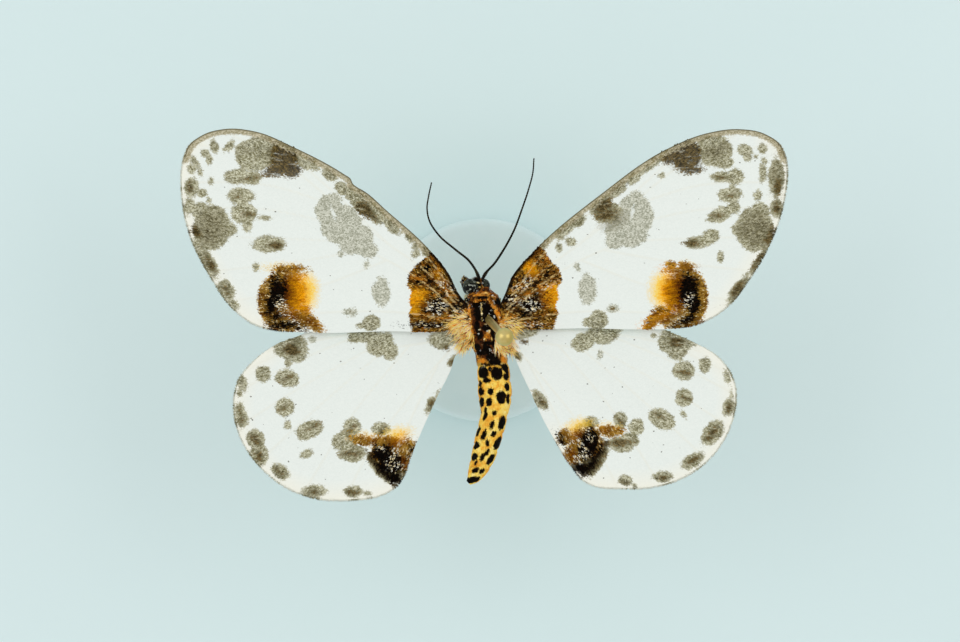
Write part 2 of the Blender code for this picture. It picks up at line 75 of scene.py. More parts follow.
# Wing plans (out, fore): the leading edge from the root to the apex, then the trailing edge
# from the root, round the hind corner, to the same apex
WING_PLANS = {
    "forewing_left": (
        [(1, 0.9), (1.68, 1.75), (2.3, 3), (3.85, 4.9), (6.4, 7.2), (7.9, 8.5), (8.45, 8.82),
         (8.62, 8.95), (8.83, 9.35), (9.2, 9.6), (12.5, 11.38), (15, 12.42), (17, 12.62), (18.6, 12.2),
         (19.55, 11.4), (19.8, 10.7)],
        [(1, -0.5), (3, -0.75), (6.5, -0.75), (10.6, -0.85), (13.1, -0.72), (15.2, -0.2), (16.8, 1.1),
         (18, 2.9), (19.35, 5.6), (19.83, 7.7), (19.92, 9.7), (19.8, 10.7)],
    ),
    "forewing_right": (
        [(1, 0.9), (1.38, 1.7), (1.82, 2.8), (3.35, 4.6), (7.65, 8.25), (12, 11.25), (14.6, 12.3),
         (16.8, 12.6), (18.5, 12.3), (19.6, 11.5), (19.9, 10.7)],
        [(1, -0.45), (3, -0.6), (6.5, -0.55), (10.4, -0.62), (12.6, -0.55), (14.6, 0), (16.1, 1),
         (17.4, 2.65), (19.05, 5.6), (19.75, 7.9), (19.97, 9.7), (19.9, 10.7)],
    ),
    "hindwing_left": (
        [(1, -0.4), (3.2, 0.4), (6.5, 0.8), (9.8, 0.15), (12.2, -1.02), (13.9, -1.72), (15.3, -2.85),
         (16.2, -4.05), (16.45, -5)],
        [(1, -1.55), (1.85, -2.3), (2.2, -3.3), (3.1, -5.1), (4.05, -7.2), (5, -9.4), (5.35, -10.3),
         (5.8, -10.95), (7, -11.6), (8.7, -11.85), (10.9, -11.78), (13.1, -11), (14.9, -9.5),
         (16.1, -7.6), (16.48, -5.9), (16.45, -5)],
    ),
    "hindwing_right": (
        [(1, -0.4), (3.2, 0.5), (6.5, 0.9), (9.8, 0.4), (12.2, -0.74), (13.9, -1.5), (15.4, -2.45),
         (16.35, -3.75), (16.6, -4.6)],
        [(1, -1.4), (1.9, -2.15), (2.25, -3), (3, -4.6), (4, -6.75), (5.2, -8.75), (5.8, -9.6),
         (6.5, -10.5), (7.4, -10.95), (8.8, -11.08), (10.9, -11.03), (13.2, -10.35), (14.9, -9.1),
         (16.15, -7.2), (16.6, -5.4), (16.6, -4.6)],
    ),
}
# Veins (out, fore) as broken lines, smoothed where they are read
VEINS = {
    "forewing": [
        [(1.5, 1), (3.6, 4), (7.2, 7.3), (10.2, 9.9)],
        [(1.5, 0.7), (3.7, 3.1), (6.3, 5), (9.6, 7.5)],
        [(6.3, 5), (9.9, 8.4), (13.2, 11.3)],
        [(9.6, 7.5), (12.8, 10.1), (16.6, 12.2)],
        [(12.8, 10.1), (16, 11), (19.4, 11.7)],
        [(9.6, 7.5), (14.3, 8.9), (19.8, 9.1)],
        [(9.6, 6.3), (14.4, 7.3), (19.7, 7.4)],
        [(9.3, 5.2), (14.2, 5.4), (19.2, 5.5)],
        [(9.6, 7.5), (9.6, 6.3), (9.3, 5.2)],
        [(1.5, 0.35), (4, 2.5), (6.4, 3.95), (9.3, 5.2)],
        [(8, 4.6), (12, 3.9), (17.9, 3.2)],
        [(6.4, 3.95), (11, 2.2), (16.4, 1.3)],
        [(1.6, -0.1), (5, 0.45), (10.3, 0.5), (14.9, 0)],
    ],
    "hindwing": [
        [(1.7, -0.6), (5, 0.2), (9.5, -0.2), (14.3, -2.1)],
        [(1.7, -0.85), (4.5, -0.7), (7.7, -0.8)],
        [(7.7, -0.8), (11.6, -1.5), (15.8, -3.3)],
        [(7.7, -0.8), (12.3, -2.7), (16.4, -4.8)],
        [(7.7, -2), (12.2, -4.5), (16.3, -7.1)],
        [(7.7, -0.8), (7.85, -1.4), (7.7, -2)],
        [(1.7, -1.1), (4.4, -1.6), (7.7, -2)],
        [(6.4, -1.85), (10.8, -5.6), (14.8, -9.3)],
        [(4.9, -1.65), (8.5, -6), (11.7, -11)],
        [(1.7, -1.35), (4.6, -4.7), (7.6, -8.7), (8.9, -11.2)],
        [(3.1, -3.05), (4.4, -5.6), (5.7, -8.5), (6.6, -10.6)],
    ],
}

# Markings on each wing, as ovals (out, fore, half length, half width, turn in degrees if any),
# lengths in hundredths of a millimetre, made millimetres below. A basal edge is a line instead:
# how far fore, and how far out the patch by the hinge reaches there
MARKS = {}
MARKS["forewing_left"] = {
    "grey": [
        (1510, 1090, 135, 110), (1460, 1150, 120, 60), (1180, 1050, 105, 50, 25), (1780, 1145, 50, 28, 80),
        (1840, 1100, 30, 30), (1815, 1060, 33, 25, 90), (1685, 1145, 55, 24, -50), (1910, 1045, 42, 22, 60),
        (1930, 995, 35, 30, 90), (1870, 970, 30, 19, 70), (1800, 920, 30, 20, 90), (1620, 950, 90, 52),
        (1540, 935, 75, 45), (1605, 820, 90, 55), (1585, 705, 90, 72), (1450, 675, 50, 17),
        (1560, 620, 45, 35, 90), (1930, 875, 70, 50, 90), (1860, 835, 35, 30), (1815, 785, 28, 20, 90),
        (1945, 750, 60, 38, 90), (1795, 610, 150, 125, 90), (1870, 720, 70, 60), (1700, 600, 70, 55),
        (1840, 515, 85, 60), (1820, 375, 120, 48, 58), (1700, 200, 75, 50, 62), (1655, 100, 45, 34, 40),
        (1420, 500, 112, 56), (1505, 350, 33, 20, 90), (1020, 960, 60, 36, 30), (940, 870, 50, 42, 60),
        (870, 825, 80, 40, 45), (805, 780, 100, 70, 42), (710, 700, 95, 55, 42), (610, 625, 80, 38, 42),
        (485, 540, 38, 28, 45), (445, 490, 27, 22), (455, 435, 36, 24, -20), (375, 450, 42, 34, 30),
        (745, -20, 62, 55), (815, -35, 35, 20),
    ],
    "pale": [
        (1020, 725, 95, 105), (990, 800, 50, 40), (945, 630, 135, 135), (850, 530, 120, 95, -20),
        (760, 460, 62, 50), (775, 365, 30, 20, 90), (945, 435, 28, 20), (680, 185, 100, 60, 90),
        (880, 50, 45, 28),
    ],
    "clear": [(995, 705, 50, 10, 70)],
    "umber": [
        (1315, 1075, 95, 115), (1380, 980, 90, 40), (1270, 985, 70, 50), (790, 725, 75, 42, 42),
        (720, 675, 50, 20, 42), (1540, 935, 35, 13), (1625, 815, 25, 10), (1545, 695, 36, 15),
        (1935, 880, 35, 20, 90), (1900, 585, 50, 28, 60), (1800, 365, 60, 22, 58), (1695, 195, 28, 15, 60),
        (1370, 495, 55, 24), (880, 50, 14, 10),
    ],
    "ochre": [
        (1375, 125, 175, 118, 90), (1285, 335, 115, 34), (1295, -15, 150, 62), (1175, 10, 115, 50, 35),
        (1110, -45, 72, 36, 42), (1340, 240, 80, 90), (1210, 75, 60, 30), (1250, 298, 60, 30),
    ],
    "orange": [
        (1250, 175, 135, 95, 90), (1195, 75, 50, 35, 40), (1140, -15, 60, 14, 38), (1260, 25, 90, 22, 15),
    ],
    "glow": [(1195, 185, 130, 100, 90), (1330, 345, 70, 20)],
    "black": [
        (1360, 180, 115, 56, 90), (1400, 95, 60, 48, 90), (1310, -32, 100, 28), (1370, 25, 40, 25),
        (1220, -50, 60, 13, 25),
    ],
    "fleck": [
        (1335, 100, 50, 36, 60), (1250, -5, 75, 14, 35), (310, 86, 62, 55), (245, 210, 60, 30, 50),
        (260, -35, 70, 12), (410, -30, 30, 12), (190, 40, 50, 30), (160, -40, 50, 14),
    ],
    "basal_orange": [(445, 150, 78, 58), (450, 60, 35, 30, 90), (305, 285, 45, 16, -60)],
    "basal_tawny": [(420, 100, 85, 50, 60), (305, 310, 80, 40, -62), (430, 260, 60, 30, 40)],
    "basal_black": [
        (305, 85, 70, 52), (350, 260, 55, 10, 50), (170, 90, 60, 30), (360, -30, 90, 12),
        (135, 125, 40, 30),
    ],
    "shade": [(1795, 610, 120, 95, 90), (1330, 1070, 110, 100)],
    "basal_edge": [
        (-120, 480), (-70, 475), (30, 500), (80, 472), (115, 495), (180, 480), (230, 508), (300, 500),
        (360, 455), (410, 385), (460, 330), (550, 260),
    ],
}
MARKS["forewing_right"] = {
    "grey": [
        (1525, 1110, 115, 105), (1500, 1170, 110, 50, 10), (1590, 1040, 65, 42), (1160, 1075, 90, 40, 35),
        (1720, 1120, 55, 42), (1735, 1075, 30, 28), (1840, 1130, 35, 30, 90), (1795, 1080, 15, 13),
        (1850, 1050, 26, 20, 90), (1955, 1110, 34, 16, 90), (1570, 945, 85, 38), (1655, 945, 62, 55),
        (1635, 870, 30, 25, 90), (1620, 825, 85, 50), (1560, 695, 95, 50, 22), (1645, 740, 45, 45),
        (1840, 970, 62, 28, 90), (1930, 940, 130, 55, 90), (1930, 740, 65, 42, 90), (1805, 820, 45, 27, 90),
        (1785, 600, 150, 125, 90), (1820, 710, 65, 70), (1700, 600, 70, 50), (1850, 520, 70, 60),
        (1825, 385, 115, 42, 56), (1675, 195, 125, 42, 55), (1420, 515, 100, 42, 8),
        (1495, 550, 60, 50, 30), (1560, 415, 38, 24, 90), (770, 760, 95, 45, 42), (880, 860, 95, 38, 42),
        (990, 940, 80, 36, 40), (1090, 1015, 80, 28, 38), (1175, 955, 24, 22), (620, 655, 62, 42, 40),
        (535, 595, 90, 38, 40), (575, 515, 36, 32), (495, 480, 32, 22, 90), (395, 500, 55, 26, 42),
        (755, 0, 62, 65), (700, -15, 50, 35), (820, 705, 100, 60, 20),
    ],
    "pale": [
        (995, 725, 110, 110), (1055, 680, 65, 105), (900, 590, 100, 100), (960, 570, 125, 90),
        (860, 520, 60, 50), (685, 205, 105, 62, 90), (615, 350, 35, 20, 110), (850, 80, 40, 28),
        (1010, 820, 50, 35),
    ],
    "clear": [(980, 715, 50, 10, 80)],
    "umber": [
        (1330, 1090, 110, 110), (1365, 995, 95, 35), (1220, 1070, 70, 42, 20), (790, 750, 70, 35, 42),
        (810, 695, 75, 30, 20), (1565, 940, 42, 14), (1625, 820, 35, 13), (1540, 690, 35, 15, 10),
        (1940, 875, 50, 28, 90), (1930, 740, 30, 20, 90), (1890, 560, 60, 28, 60), (1810, 400, 70, 22, 56),
        (1675, 210, 70, 22, 55), (1375, 510, 60, 24, 6), (850, 80, 12, 10),
    ],
    "ochre": [
        (1365, 150, 185, 112, 90), (1230, 355, 42, 36), (1330, 350, 55, 36), (1280, 330, 90, 26),
        (1290, -10, 140, 62), (1140, 15, 100, 42, 35), (1085, -40, 50, 26, 50), (1330, 260, 80, 90),
        (1190, 70, 75, 32),
    ],
    "orange": [
        (1260, 185, 135, 95, 90), (1230, 340, 30, 12), (1330, 345, 35, 14), (1130, -5, 60, 14, 35),
        (1200, 30, 90, 22, 20),
    ],
    "glow": [(1200, 195, 125, 105, 90), (1340, 355, 30, 20)],
    "black": [
        (1350, 190, 115, 62, 90), (1375, 110, 85, 52, 90), (1320, -5, 75, 28, 25), (1250, -40, 50, 16, 30),
    ],
    "fleck": [
        (1340, 110, 62, 32, 75), (1270, -10, 55, 20, 35), (310, 106, 62, 52), (255, 230, 60, 26, 35),
        (320, -30, 80, 10), (200, 140, 40, 30), (410, 220, 50, 12, 30),
    ],
    "basal_orange": [(450, 160, 85, 72, 90), (305, 335, 60, 34, -50)],
    "basal_tawny": [(420, 140, 90, 60, 90), (320, 330, 75, 45, -50), (390, 390, 50, 30, 40)],
    "basal_black": [
        (310, 100, 76, 52), (345, 160, 30, 22), (180, 90, 60, 25), (370, 260, 50, 8, 35),
        (140, 130, 30, 25),
    ],
    "shade": [
        (1790, 605, 120, 98, 90), (1330, 1080, 115, 100), (1930, 930, 100, 35, 90), (860, 660, 80, 50, 30),
        (1520, 1110, 80, 50),
    ],
    "basal_edge": [
        (-100, 460), (-50, 460), (45, 490), (100, 470), (145, 495), (200, 480), (265, 515), (340, 500),
        (380, 450), (460, 400), (520, 300),
    ],
}
MARKS["hindwing_left"] = {
    "grey": [
        (275, -130, 95, 62), (790, -100, 115, 50, -8), (685, -160, 95, 75, -30), (620, -205, 55, 60),
        (1275, -175, 115, 90), (1240, -230, 80, 50), (1295, -280, 42, 22, 90), (1460, -355, 56, 52, 90),
        (1300, -385, 82, 60, 12), (1315, -575, 65, 65), (1295, -695, 30, 27, 90), (1155, -725, 95, 60, -28),
        (1175, -885, 45, 30, -30), (1600, -410, 65, 33, 70), (1615, -480, 26, 20, 90),
        (1605, -630, 90, 42, 78), (1510, -785, 70, 60, 60), (1485, -890, 75, 60, 75),
        (1345, -1000, 72, 45, 38), (1120, -1130, 82, 40), (865, -1135, 62, 38), (770, -1145, 30, 15),
        (870, -705, 60, 60), (920, -800, 90, 65, -15), (870, -880, 95, 60), (680, -720, 65, 45),
        (600, -970, 120, 95), (695, -975, 135, 42, 51), (205, -270, 45, 30, -50), (350, -560, 72, 32, -64),
        (310, -500, 30, 12, -64),
    ],
    "pale": [(1140, -130, 30, 25)],
    "umber": [
        (1270, -195, 55, 40), (1310, -390, 35, 12, -25), (1320, -580, 30, 12, -25),
        (1120, -700, 42, 12, -32), (865, -715, 42, 13, -42), (875, -880, 70, 22), (1605, -630, 40, 15, 78),
        (1510, -790, 35, 20, 60), (1485, -900, 35, 20, 75), (1350, -1000, 35, 15, 38),
        (1120, -1135, 30, 12), (860, -1140, 30, 12), (205, -270, 30, 16, -50), (350, -560, 40, 12, -64),
        (675, -740, 45, 20, -55), (245, -185, 22, 20), (590, -960, 110, 90), (690, -970, 125, 34, 51),
        (580, -1070, 40, 40), (730, -910, 45, 50),
    ],
    "ochre": [
        (805, -795, 95, 36, 10), (695, -790, 60, 30), (620, -870, 130, 105), (495, -850, 50, 68),
        (550, -930, 70, 60),
    ],
    "orange": [(580, -805, 65, 36, -25), (740, -785, 30, 10, 10), (530, -935, 34, 36)],
    "glow": [(585, -770, 90, 50, -20), (760, -775, 60, 20, 10)],
    "black": [
        (675, -875, 72, 60), (615, -950, 75, 75), (590, -1040, 40, 45), (475, -860, 50, 16, -60),
        (675, -975, 110, 26, 51),
    ],
    "fleck": [
        (600, -895, 75, 20, -62), (575, -970, 42, 32), (680, -845, 20, 14), (495, -885, 35, 14, 50),
    ],
}
MARKS["hindwing_right"] = {
    "grey": [
        (260, -85, 100, 45, 10), (655, -145, 82, 62, 20), (770, -100, 115, 60), (845, -75, 70, 28),
        (1260, -145, 115, 90, -10), (1270, -210, 60, 50), (1300, -250, 30, 15, 80), (1120, -105, 22, 20),
        (1350, -150, 60, 25, -20), (1320, -335, 74, 64), (1460, -295, 55, 42, 90), (1320, -515, 60, 60),
        (1320, -620, 30, 18, -50), (1175, -655, 98, 66, -31), (1605, -375, 50, 24, 110),
        (1615, -575, 62, 42, 80), (1635, -500, 38, 14, 90), (1510, -745, 100, 60, 55),
        (1380, -930, 82, 48, 34), (1180, -1035, 66, 38), (935, -1060, 52, 36), (995, -1095, 34, 15, -35),
        (900, -665, 45, 62), (1005, -710, 55, 60), (960, -790, 70, 50), (910, -820, 90, 55),
        (710, -675, 60, 40), (690, -920, 95, 90), (755, -930, 130, 42, 60), (220, -235, 45, 27, -50),
        (370, -530, 80, 42, -52),
    ],
    "pale": [(765, -230, 30, 20, 90)],
    "umber": [
        (1270, -150, 55, 35), (1320, -345, 35, 13, -10), (1330, -515, 35, 12, -20),
        (1160, -635, 42, 12, -35), (895, -670, 40, 13, -40), (910, -810, 70, 25), (1615, -580, 30, 15, 80),
        (1505, -750, 50, 22, 55), (1375, -930, 40, 16, 34), (1180, -1040, 30, 12), (935, -1070, 25, 12),
        (220, -235, 28, 15, -50), (385, -540, 50, 14, -52), (265, -145, 25, 17), (705, -700, 40, 20, -55),
        (640, -930, 80, 90), (700, -920, 75, 65), (750, -925, 120, 34, 60), (660, -1000, 45, 45),
        (780, -820, 50, 50),
    ],
    "ochre": [
        (835, -735, 95, 40, -5), (730, -740, 60, 30), (670, -820, 120, 95), (540, -775, 60, 55),
        (595, -880, 70, 70),
    ],
    "orange": [(620, -750, 50, 34, 30), (800, -730, 40, 12), (580, -885, 34, 40)],
    "glow": [(620, -715, 85, 55, 20), (815, -720, 70, 30)],
    "black": [
        (700, -805, 65, 85), (660, -870, 50, 60), (640, -980, 45, 40, -50), (510, -795, 45, 14, -58),
        (730, -920, 100, 24, 60),
    ],
    "fleck": [
        (645, -840, 60, 20, -62), (625, -905, 35, 35), (700, -775, 22, 16), (560, -830, 40, 14, 50),
    ],
}
for marks in MARKS.values():
    for key, rows in marks.items():
        marks[key] = [(*(value / 100 for value in row[:4]), *row[4:]) for row in rows]

# The body's middle line: across, along, up, half width, half height, roll in degrees
BODY_STATIONS = [
    (-0.42, 2.8, 18.74, 0.16, 0.22, 28), (-0.44, 2.68, 18.8, 0.34, 0.44, 28),
    (-0.46, 2.42, 18.87, 0.42, 0.6, 28), (-0.48, 2.12, 18.92, 0.44, 0.66, 28),
    (-0.46, 1.85, 18.96, 0.5, 0.66, 24), (-0.37, 1.62, 18.98, 0.66, 0.64, 14),
    (-0.25, 1.4, 19.02, 0.84, 0.78, 8), (-0.12, 1.08, 19.02, 1, 1.05, 4), (0, 0.5, 19, 1.15, 1.24, 0),
    (0.05, -0.2, 19, 1.18, 1.3, 0), (0.08, -1, 18.98, 1.1, 1.16, 0), (0.18, -1.5, 18.95, 1, 0.96, 0),
    (0.32, -1.85, 18.88, 0.94, 0.84, 0), (0.45, -2.3, 18.84, 0.98, 0.86, 0),
    (0.58, -3, 18.84, 1.02, 0.93, 0), (0.67, -4, 18.83, 1.06, 0.98, 0), (0.73, -5.1, 18.8, 1.08, 1, 0),
    (0.69, -6.2, 18.74, 0.87, 0.93, 0), (0.47, -7.2, 18.66, 0.86, 0.89, 0),
    (0.18, -8.2, 18.56, 0.83, 0.84, 0), (-0.07, -9.1, 18.47, 0.76, 0.75, 0),
    (-0.4, -9.9, 18.38, 0.62, 0.62, 0), (-0.73, -10.48, 18.31, 0.41, 0.42, 0),
    (-1.03, -10.8, 18.26, 0.18, 0.18, 0),
]
# Where the segments start and end along the body, how many there are, and where yellow starts
ABDOMEN_FROM, ABDOMEN_TO = -1.9, -10.6
ABDOMEN_SEGMENTS = 8
YELLOW_FROM = -2.85

# Markings on the body seen from above, as ovals (across, along, half length, half width, turn if any)
BODY_MARKS = {
    "orange": [
        (-0.92, -0.13, 1.35, 0.26, 90), (0.7, 0.58, 0.85, 0.2, -66), (-0.33, 1.6, 0.85, 0.06),
        (-0.25, 1.27, 0.55, 0.05), (-0.12, 2.1, 0.5, 0.1, -55), (-0.2, -2.7, 0.25, 0.2),
        (1.3, -2.6, 0.25, 0.3), (0.22, -1.1, 0.3, 0.1, 60),
    ],
    "dark": [
        (-0.85, 2.3, 0.42, 0.6), (0.12, 2.5, 0.2, 0.3), (-0.2, 1.48, 0.66, 0.1), (-0.17, 0.93, 0.58, 0.3),
        (0, 0.6, 0.66, 0.42), (0.12, 0.22, 0.74, 0.42, -12), (-1.35, 1.02, 0.2, 0.32),
        (0.95, 1.16, 0.3, 0.24), (-0.26, -1, 0.2, 0.26), (0.26, -0.5, 0.42, 0.22),
        (-0.42, -0.45, 0.16, 0.4), (0.62, -0.85, 0.16, 0.36), (-0.4, -1.76, 0.24, 0.2),
        (0.8, -1.72, 0.26, 0.2), (0.2, -1.85, 0.26, 0.2), (0.5, -2.45, 0.4, 0.3), (0.75, -2.75, 0.42, 0.24),
        (0.1, -2.95, 0.4, 0.08), (-0.15, -2.15, 0.45, 0.18), (1.3, -3, 0.2, 0.12), (0.3, -1.5, 0.6, 0.12),
        (-0.1, -3.45, 0.34, 0.42), (0.86, -3.53, 0.4, 0.44), (0.4, -3.22, 0.16, 0.14),
        (1.42, -3.17, 0.2, 0.33), (1.48, -3.7, 0.2, 0.26), (0.13, -3.98, 0.26, 0.19),
        (-0.28, -4.2, 0.14, 0.2), (-0.2, -4.72, 0.2, 0.26), (0.43, -4.7, 0.2, 0.23),
        (1.52, -4.42, 0.15, 0.27), (1.16, -5.08, 0.33, 0.45), (0.33, -5.42, 0.2, 0.26),
        (-0.18, -5.42, 0.2, 0.33), (1.6, -5.2, 0.12, 0.33), (0.1, -6.2, 0.12, 0.4),
        (0.69, -6.14, 0.16, 0.18), (0.53, -6.93, 0.14, 0.3), (1.2, -6.8, 0.23, 0.46),
        (-0.35, -7.35, 0.12, 0.38), (0.02, -7.6, 0.15, 0.33), (0.63, -7.5, 0.17, 0.2),
        (0.23, -8.12, 0.13, 0.26, 20), (0.9, -8.15, 0.22, 0.44, -20), (-0.5, -8.3, 0.2, 0.26),
        (0.22, -8.72, 0.13, 0.2), (-0.62, -9.05, 0.2, 0.26), (-0.1, -9.05, 0.16, 0.26),
        (0.44, -9.2, 0.18, 0.38, -20), (-0.5, -9.42, 0.09, 0.13), (-0.55, -9.95, 0.2, 0.2),
        (-0.17, -10, 0.14, 0.2), (-0.8, -10.6, 0.45, 0.26),
    ],
    "cream": [
        (-0.43, 2.47, 0.1, 0.06), (-0.38, 2.15, 0.08, 0.05), (-0.7, 1.5, 0.1, 0.05, 30),
        (0.3, 2, 0.06, 0.2, 20), (-0.17, 1.06, 0.012, 0.14), (-0.16, 0.7, 0.012, 0.1),
        (-0.15, 0.42, 0.012, 0.08), (0.3, 0.3, 0.06, 0.03, 30), (-0.1, -0.02, 0.05, 0.03),
        (0.12, -0.25, 0.07, 0.04, 40), (-0.3, -0.62, 0.04, 0.06, 20), (0.36, -0.72, 0.05, 0.06),
        (0.02, -1.28, 0.07, 0.05), (0.5, -1.25, 0.06, 0.06), (-0.12, -1.6, 0.05, 0.06),
    ],
}

# Plates that stand out of the skin: ovals as above, then how far each stands out
BODY_PLATES = [
    (-0.78, 0.15, 1, 0.3, 94, 0.13), (0.82, 0.15, 1, 0.3, 86, 0.13), (-0.5, 1.5, 0.32, 0.2, 10, 0.1),
    (0.02, 1.46, 0.32, 0.2, -10, 0.1), (0.12, -1.3, 0.4, 0.28, 0, 0.12), (0.05, 0.45, 0.5, 0.75, 0, 0.05),
]

# Feelers in plan (across, along) with their lift above the body level
FEELER_LINES = {
    "left": [
        (-0.31, 2.72, 0.4), (-0.46, 3.1, 0.5), (-0.98, 3.9, 0.65), (-1.85, 4.62, 0.8), (-3, 5.62, 0.95),
        (-3.62, 6.6, 1.05), (-3.76, 7.4, 1.1), (-3.65, 8.2, 1.1), (-3.46, 9.1, 1.05),
    ],
    "right": [
        (-0.1, 2.72, 0.3), (0.12, 3.1, 0.38), (0.66, 3.7, 0.55), (1.27, 4.6, 0.75), (2, 5.96, 0.9),
        (2.5, 7.3, 1), (2.95, 8.65, 1.05), (3.22, 9.7, 1.05), (3.3, 10.7, 1),
    ],
}

# Legs: hip, knee, shin end, foot end as (out, along, up from the body level)
LEG_LINES = {
    "front": [(0.68, 0.85, -1.35), (1.05, 1.2, -2.3), (1.02, 1.15, -3.3), (1.1, 1.4, -4.5)],
    "middle": [(0.95, -0.1, -1.3), (1.75, 0.55, -2.8), (1.55, -1.0, -3.7), (1.2, -1.9, -4.9)],
    "hind": [(0.55, -1.2, -1.2), (0.62, -2.7, -2.1), (0.55, -5.4, -2.0), (0.48, -8.0, -2.05)],
}
# How far across each pair of legs is shifted, because the body bends
LEG_SHIFT = {"front": -0.1, "middle": 0.1, "hind": 0.42}


def unit(vectors):
    """Each vector divided by its own length."""
    return vectors / np.maximum(np.linalg.norm(vectors, axis=-1, keepdims=True), 1e-9)


def smooth_line(knots, count, per_span=12):
    """Points at equal steps of a curve through the knots.

    On each span it is the cubic a(t) p + b(t) h m + c(t) q + d(t) h n, where p and q are the
    span's ends, h its length, m and n the slopes there, each a mean of the two spans' own
    slopes weighted by the other span's length, and a to d the four Hermite cubics.
    """
    knots = np.asarray(knots, float)
    steps = np.diff(knots, axis=0)
    chord = np.linalg.norm(steps, axis=1)[:, None]
    slope = steps / chord
    middle = (slope[:-1] * chord[1:] + slope[1:] * chord[:-1]) / (chord[:-1] + chord[1:])
    slopes = np.vstack([slope[:1], middle, slope[-1:]]) if len(knots) > 2 else np.vstack([slope, slope])
    t = np.linspace(0, 1, per_span, endpoint=False)[None, :, None]
    start, stop, size = knots[:-1, None], knots[1:, None], chord[:, None]
    fine = (
        (2 * t**3 - 3 * t**2 + 1) * start + (t**3 - 2 * t**2 + t) * size * slopes[:-1, None]
        + (3 * t**2 - 2 * t**3) * stop + (t**3 - t**2) * size * slopes[1:, None]
    )
    fine = np.vstack([fine.reshape(-1, knots.shape[1]), knots[-1:]])
    return even_line(fine, count)


def circle(count):
    """This many even angles round a circle."""
    return np.linspace(0, 2 * math.pi, count, endpoint=False)


def even_line(points, count):
    """The same broken line read at this many equal steps of its length."""
    run = np.concatenate([[0.0], np.cumsum(np.linalg.norm(np.diff(points, axis=0), axis=1))])
    at = np.linspace(0, run[-1], count)
    return np.stack([np.interp(at, run, column) for column in points.T], axis=1)


def read_rows(rows, at):
    """Rows of numbers read at fractional row numbers, straight between two rows."""
    steps = np.arange(len(rows))
    return np.stack([np.interp(at, steps, column) for column in rows.T], axis=1)


def distance_to_lines(places, lines):
    """Each place's distance to the nearest of the broken lines, in millimetres.

    For a segment from p to q it is |place - p - t (q - p)|, t being the place's share of
    the way along it, held between 0 and 1.
    """
    starts = np.vstack([line[:-1] for line in lines])
    steps = np.vstack([line[1:] - line[:-1] for line in lines])
    squares = np.maximum((steps**2).sum(1), 1e-12)
    nearest = np.full(len(places), 1e9)
    for start, step, square in zip(starts, steps, squares):
        away = places - start
        t = np.clip(away @ step / square, 0, 1)
        nearest = np.minimum(nearest, np.linalg.norm(away - t[:, None] * step, axis=1))
    return nearest


def oval_field(places, ovals):
    """How deep each place lies inside the nearest oval, in millimetres, negative outside.

    For an oval of half axes a and b it is (1 - r) times the smaller of them, r being the
    root of (x/a)^2 + (y/b)^2 in the oval's own turned axes.
    """
    deepest = np.full(len(places), OUTSIDE)
    for across, along, half_length, half_width, *turn in ovals:
        angle = math.radians(turn[0] if turn else 0)
        x, y = places[:, 0] - across, places[:, 1] - along
        long_way = (x * math.cos(angle) + y * math.sin(angle)) / half_length
        short_way = (y * math.cos(angle) - x * math.sin(angle)) / half_width
        depth = (1 - np.hypot(long_way, short_way)) * min(half_length, half_width)
        deepest = np.maximum(deepest, depth)
    return deepest


def make_mesh(name, points, quads=None, triangles=None):
    """A smooth mesh from points in millimetres and rows of corner numbers."""
    kinds = [faces for faces in (quads, triangles) if faces is not None and len(faces)]
    corners = np.concatenate([faces.ravel() for faces in kinds]).astype(np.int32)
    sizes = np.concatenate([np.full(len(faces), faces.shape[1]) for faces in kinds])
    starts = np.concatenate([[0], np.cumsum(sizes)[:-1]]).astype(np.int32)
    mesh = bpy.data.meshes.new(name)
    mesh.vertices.add(len(points))
    mesh.vertices.foreach_set("co", (points * MM).astype(np.float32).ravel())
    mesh.loops.add(len(corners))
    mesh.loops.foreach_set("vertex_index", corners)
    mesh.polygons.add(len(sizes))
    mesh.polygons.foreach_set("loop_start", starts)
    mesh.update(calc_edges=True)
    mesh.validate()
    mesh.shade_smooth()
    return mesh


def add_fields(mesh, fields, places):
    """Writes each named array of one number to a point into the mesh, and the places.

    A point's place in millimetres is where it reads the grain: its own on a skin, and its
    root's on a tuft, so that a tuft has one colour.
    """
    for name, values in fields.items():
        attribute = mesh.attributes.new(name, "FLOAT", "POINT")
        attribute.data.foreach_set("value", np.asarray(values, np.float32))
    attribute = mesh.attributes.new("grain_place", "FLOAT_VECTOR", "POINT")
    attribute.data.foreach_set("vector", np.asarray(places, np.float32).ravel())


def add_piece(name, mesh, material_name, replaces=()):
    """Puts the mesh in the scene as a piece that rides on the still body."""
    mesh.materials.append(material_named(material_name))
    piece = bpy.data.objects.new(name, mesh)
    bpy.context.scene.collection.objects.link(piece)
    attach(piece, "root")
    if replaces:
        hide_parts(*replaces)


def add_shape(name, shape, material_name, node):
    """A piece from (points, quads, triangles) that stands for one CAD node."""
    add_piece(name, make_mesh(name, *shape), material_name, [node])


def loft(rings, flip=False):
    """Points and faces of the surface through closed rings, with a fan over each end.

    Face (i, j) joins ring i to ring i + 1 between their points j and j + 1. Rings run
    right-handed about the way from the first to the last, or left-handed with flip.
    """
    count, around, _ = rings.shape
    index = np.arange(count * around).reshape(count, around)
    after = np.roll(index, -1, axis=1)
    quads = np.stack([index[:-1], after[:-1], after[1:], index[1:]], -1).reshape(-1, 4)
    first = np.full(around, count * around)
    last = first + 1
    fans = np.vstack([np.stack([first, after[0], index[0]], 1), np.stack([last, index[-1], after[-1]], 1)])
    points = np.vstack([rings.reshape(-1, 3), rings[0].mean(0), rings[-1].mean(0)])
    if flip:
        return points, quads[:, ::-1], fans[:, ::-1]
    return points, quads, fans


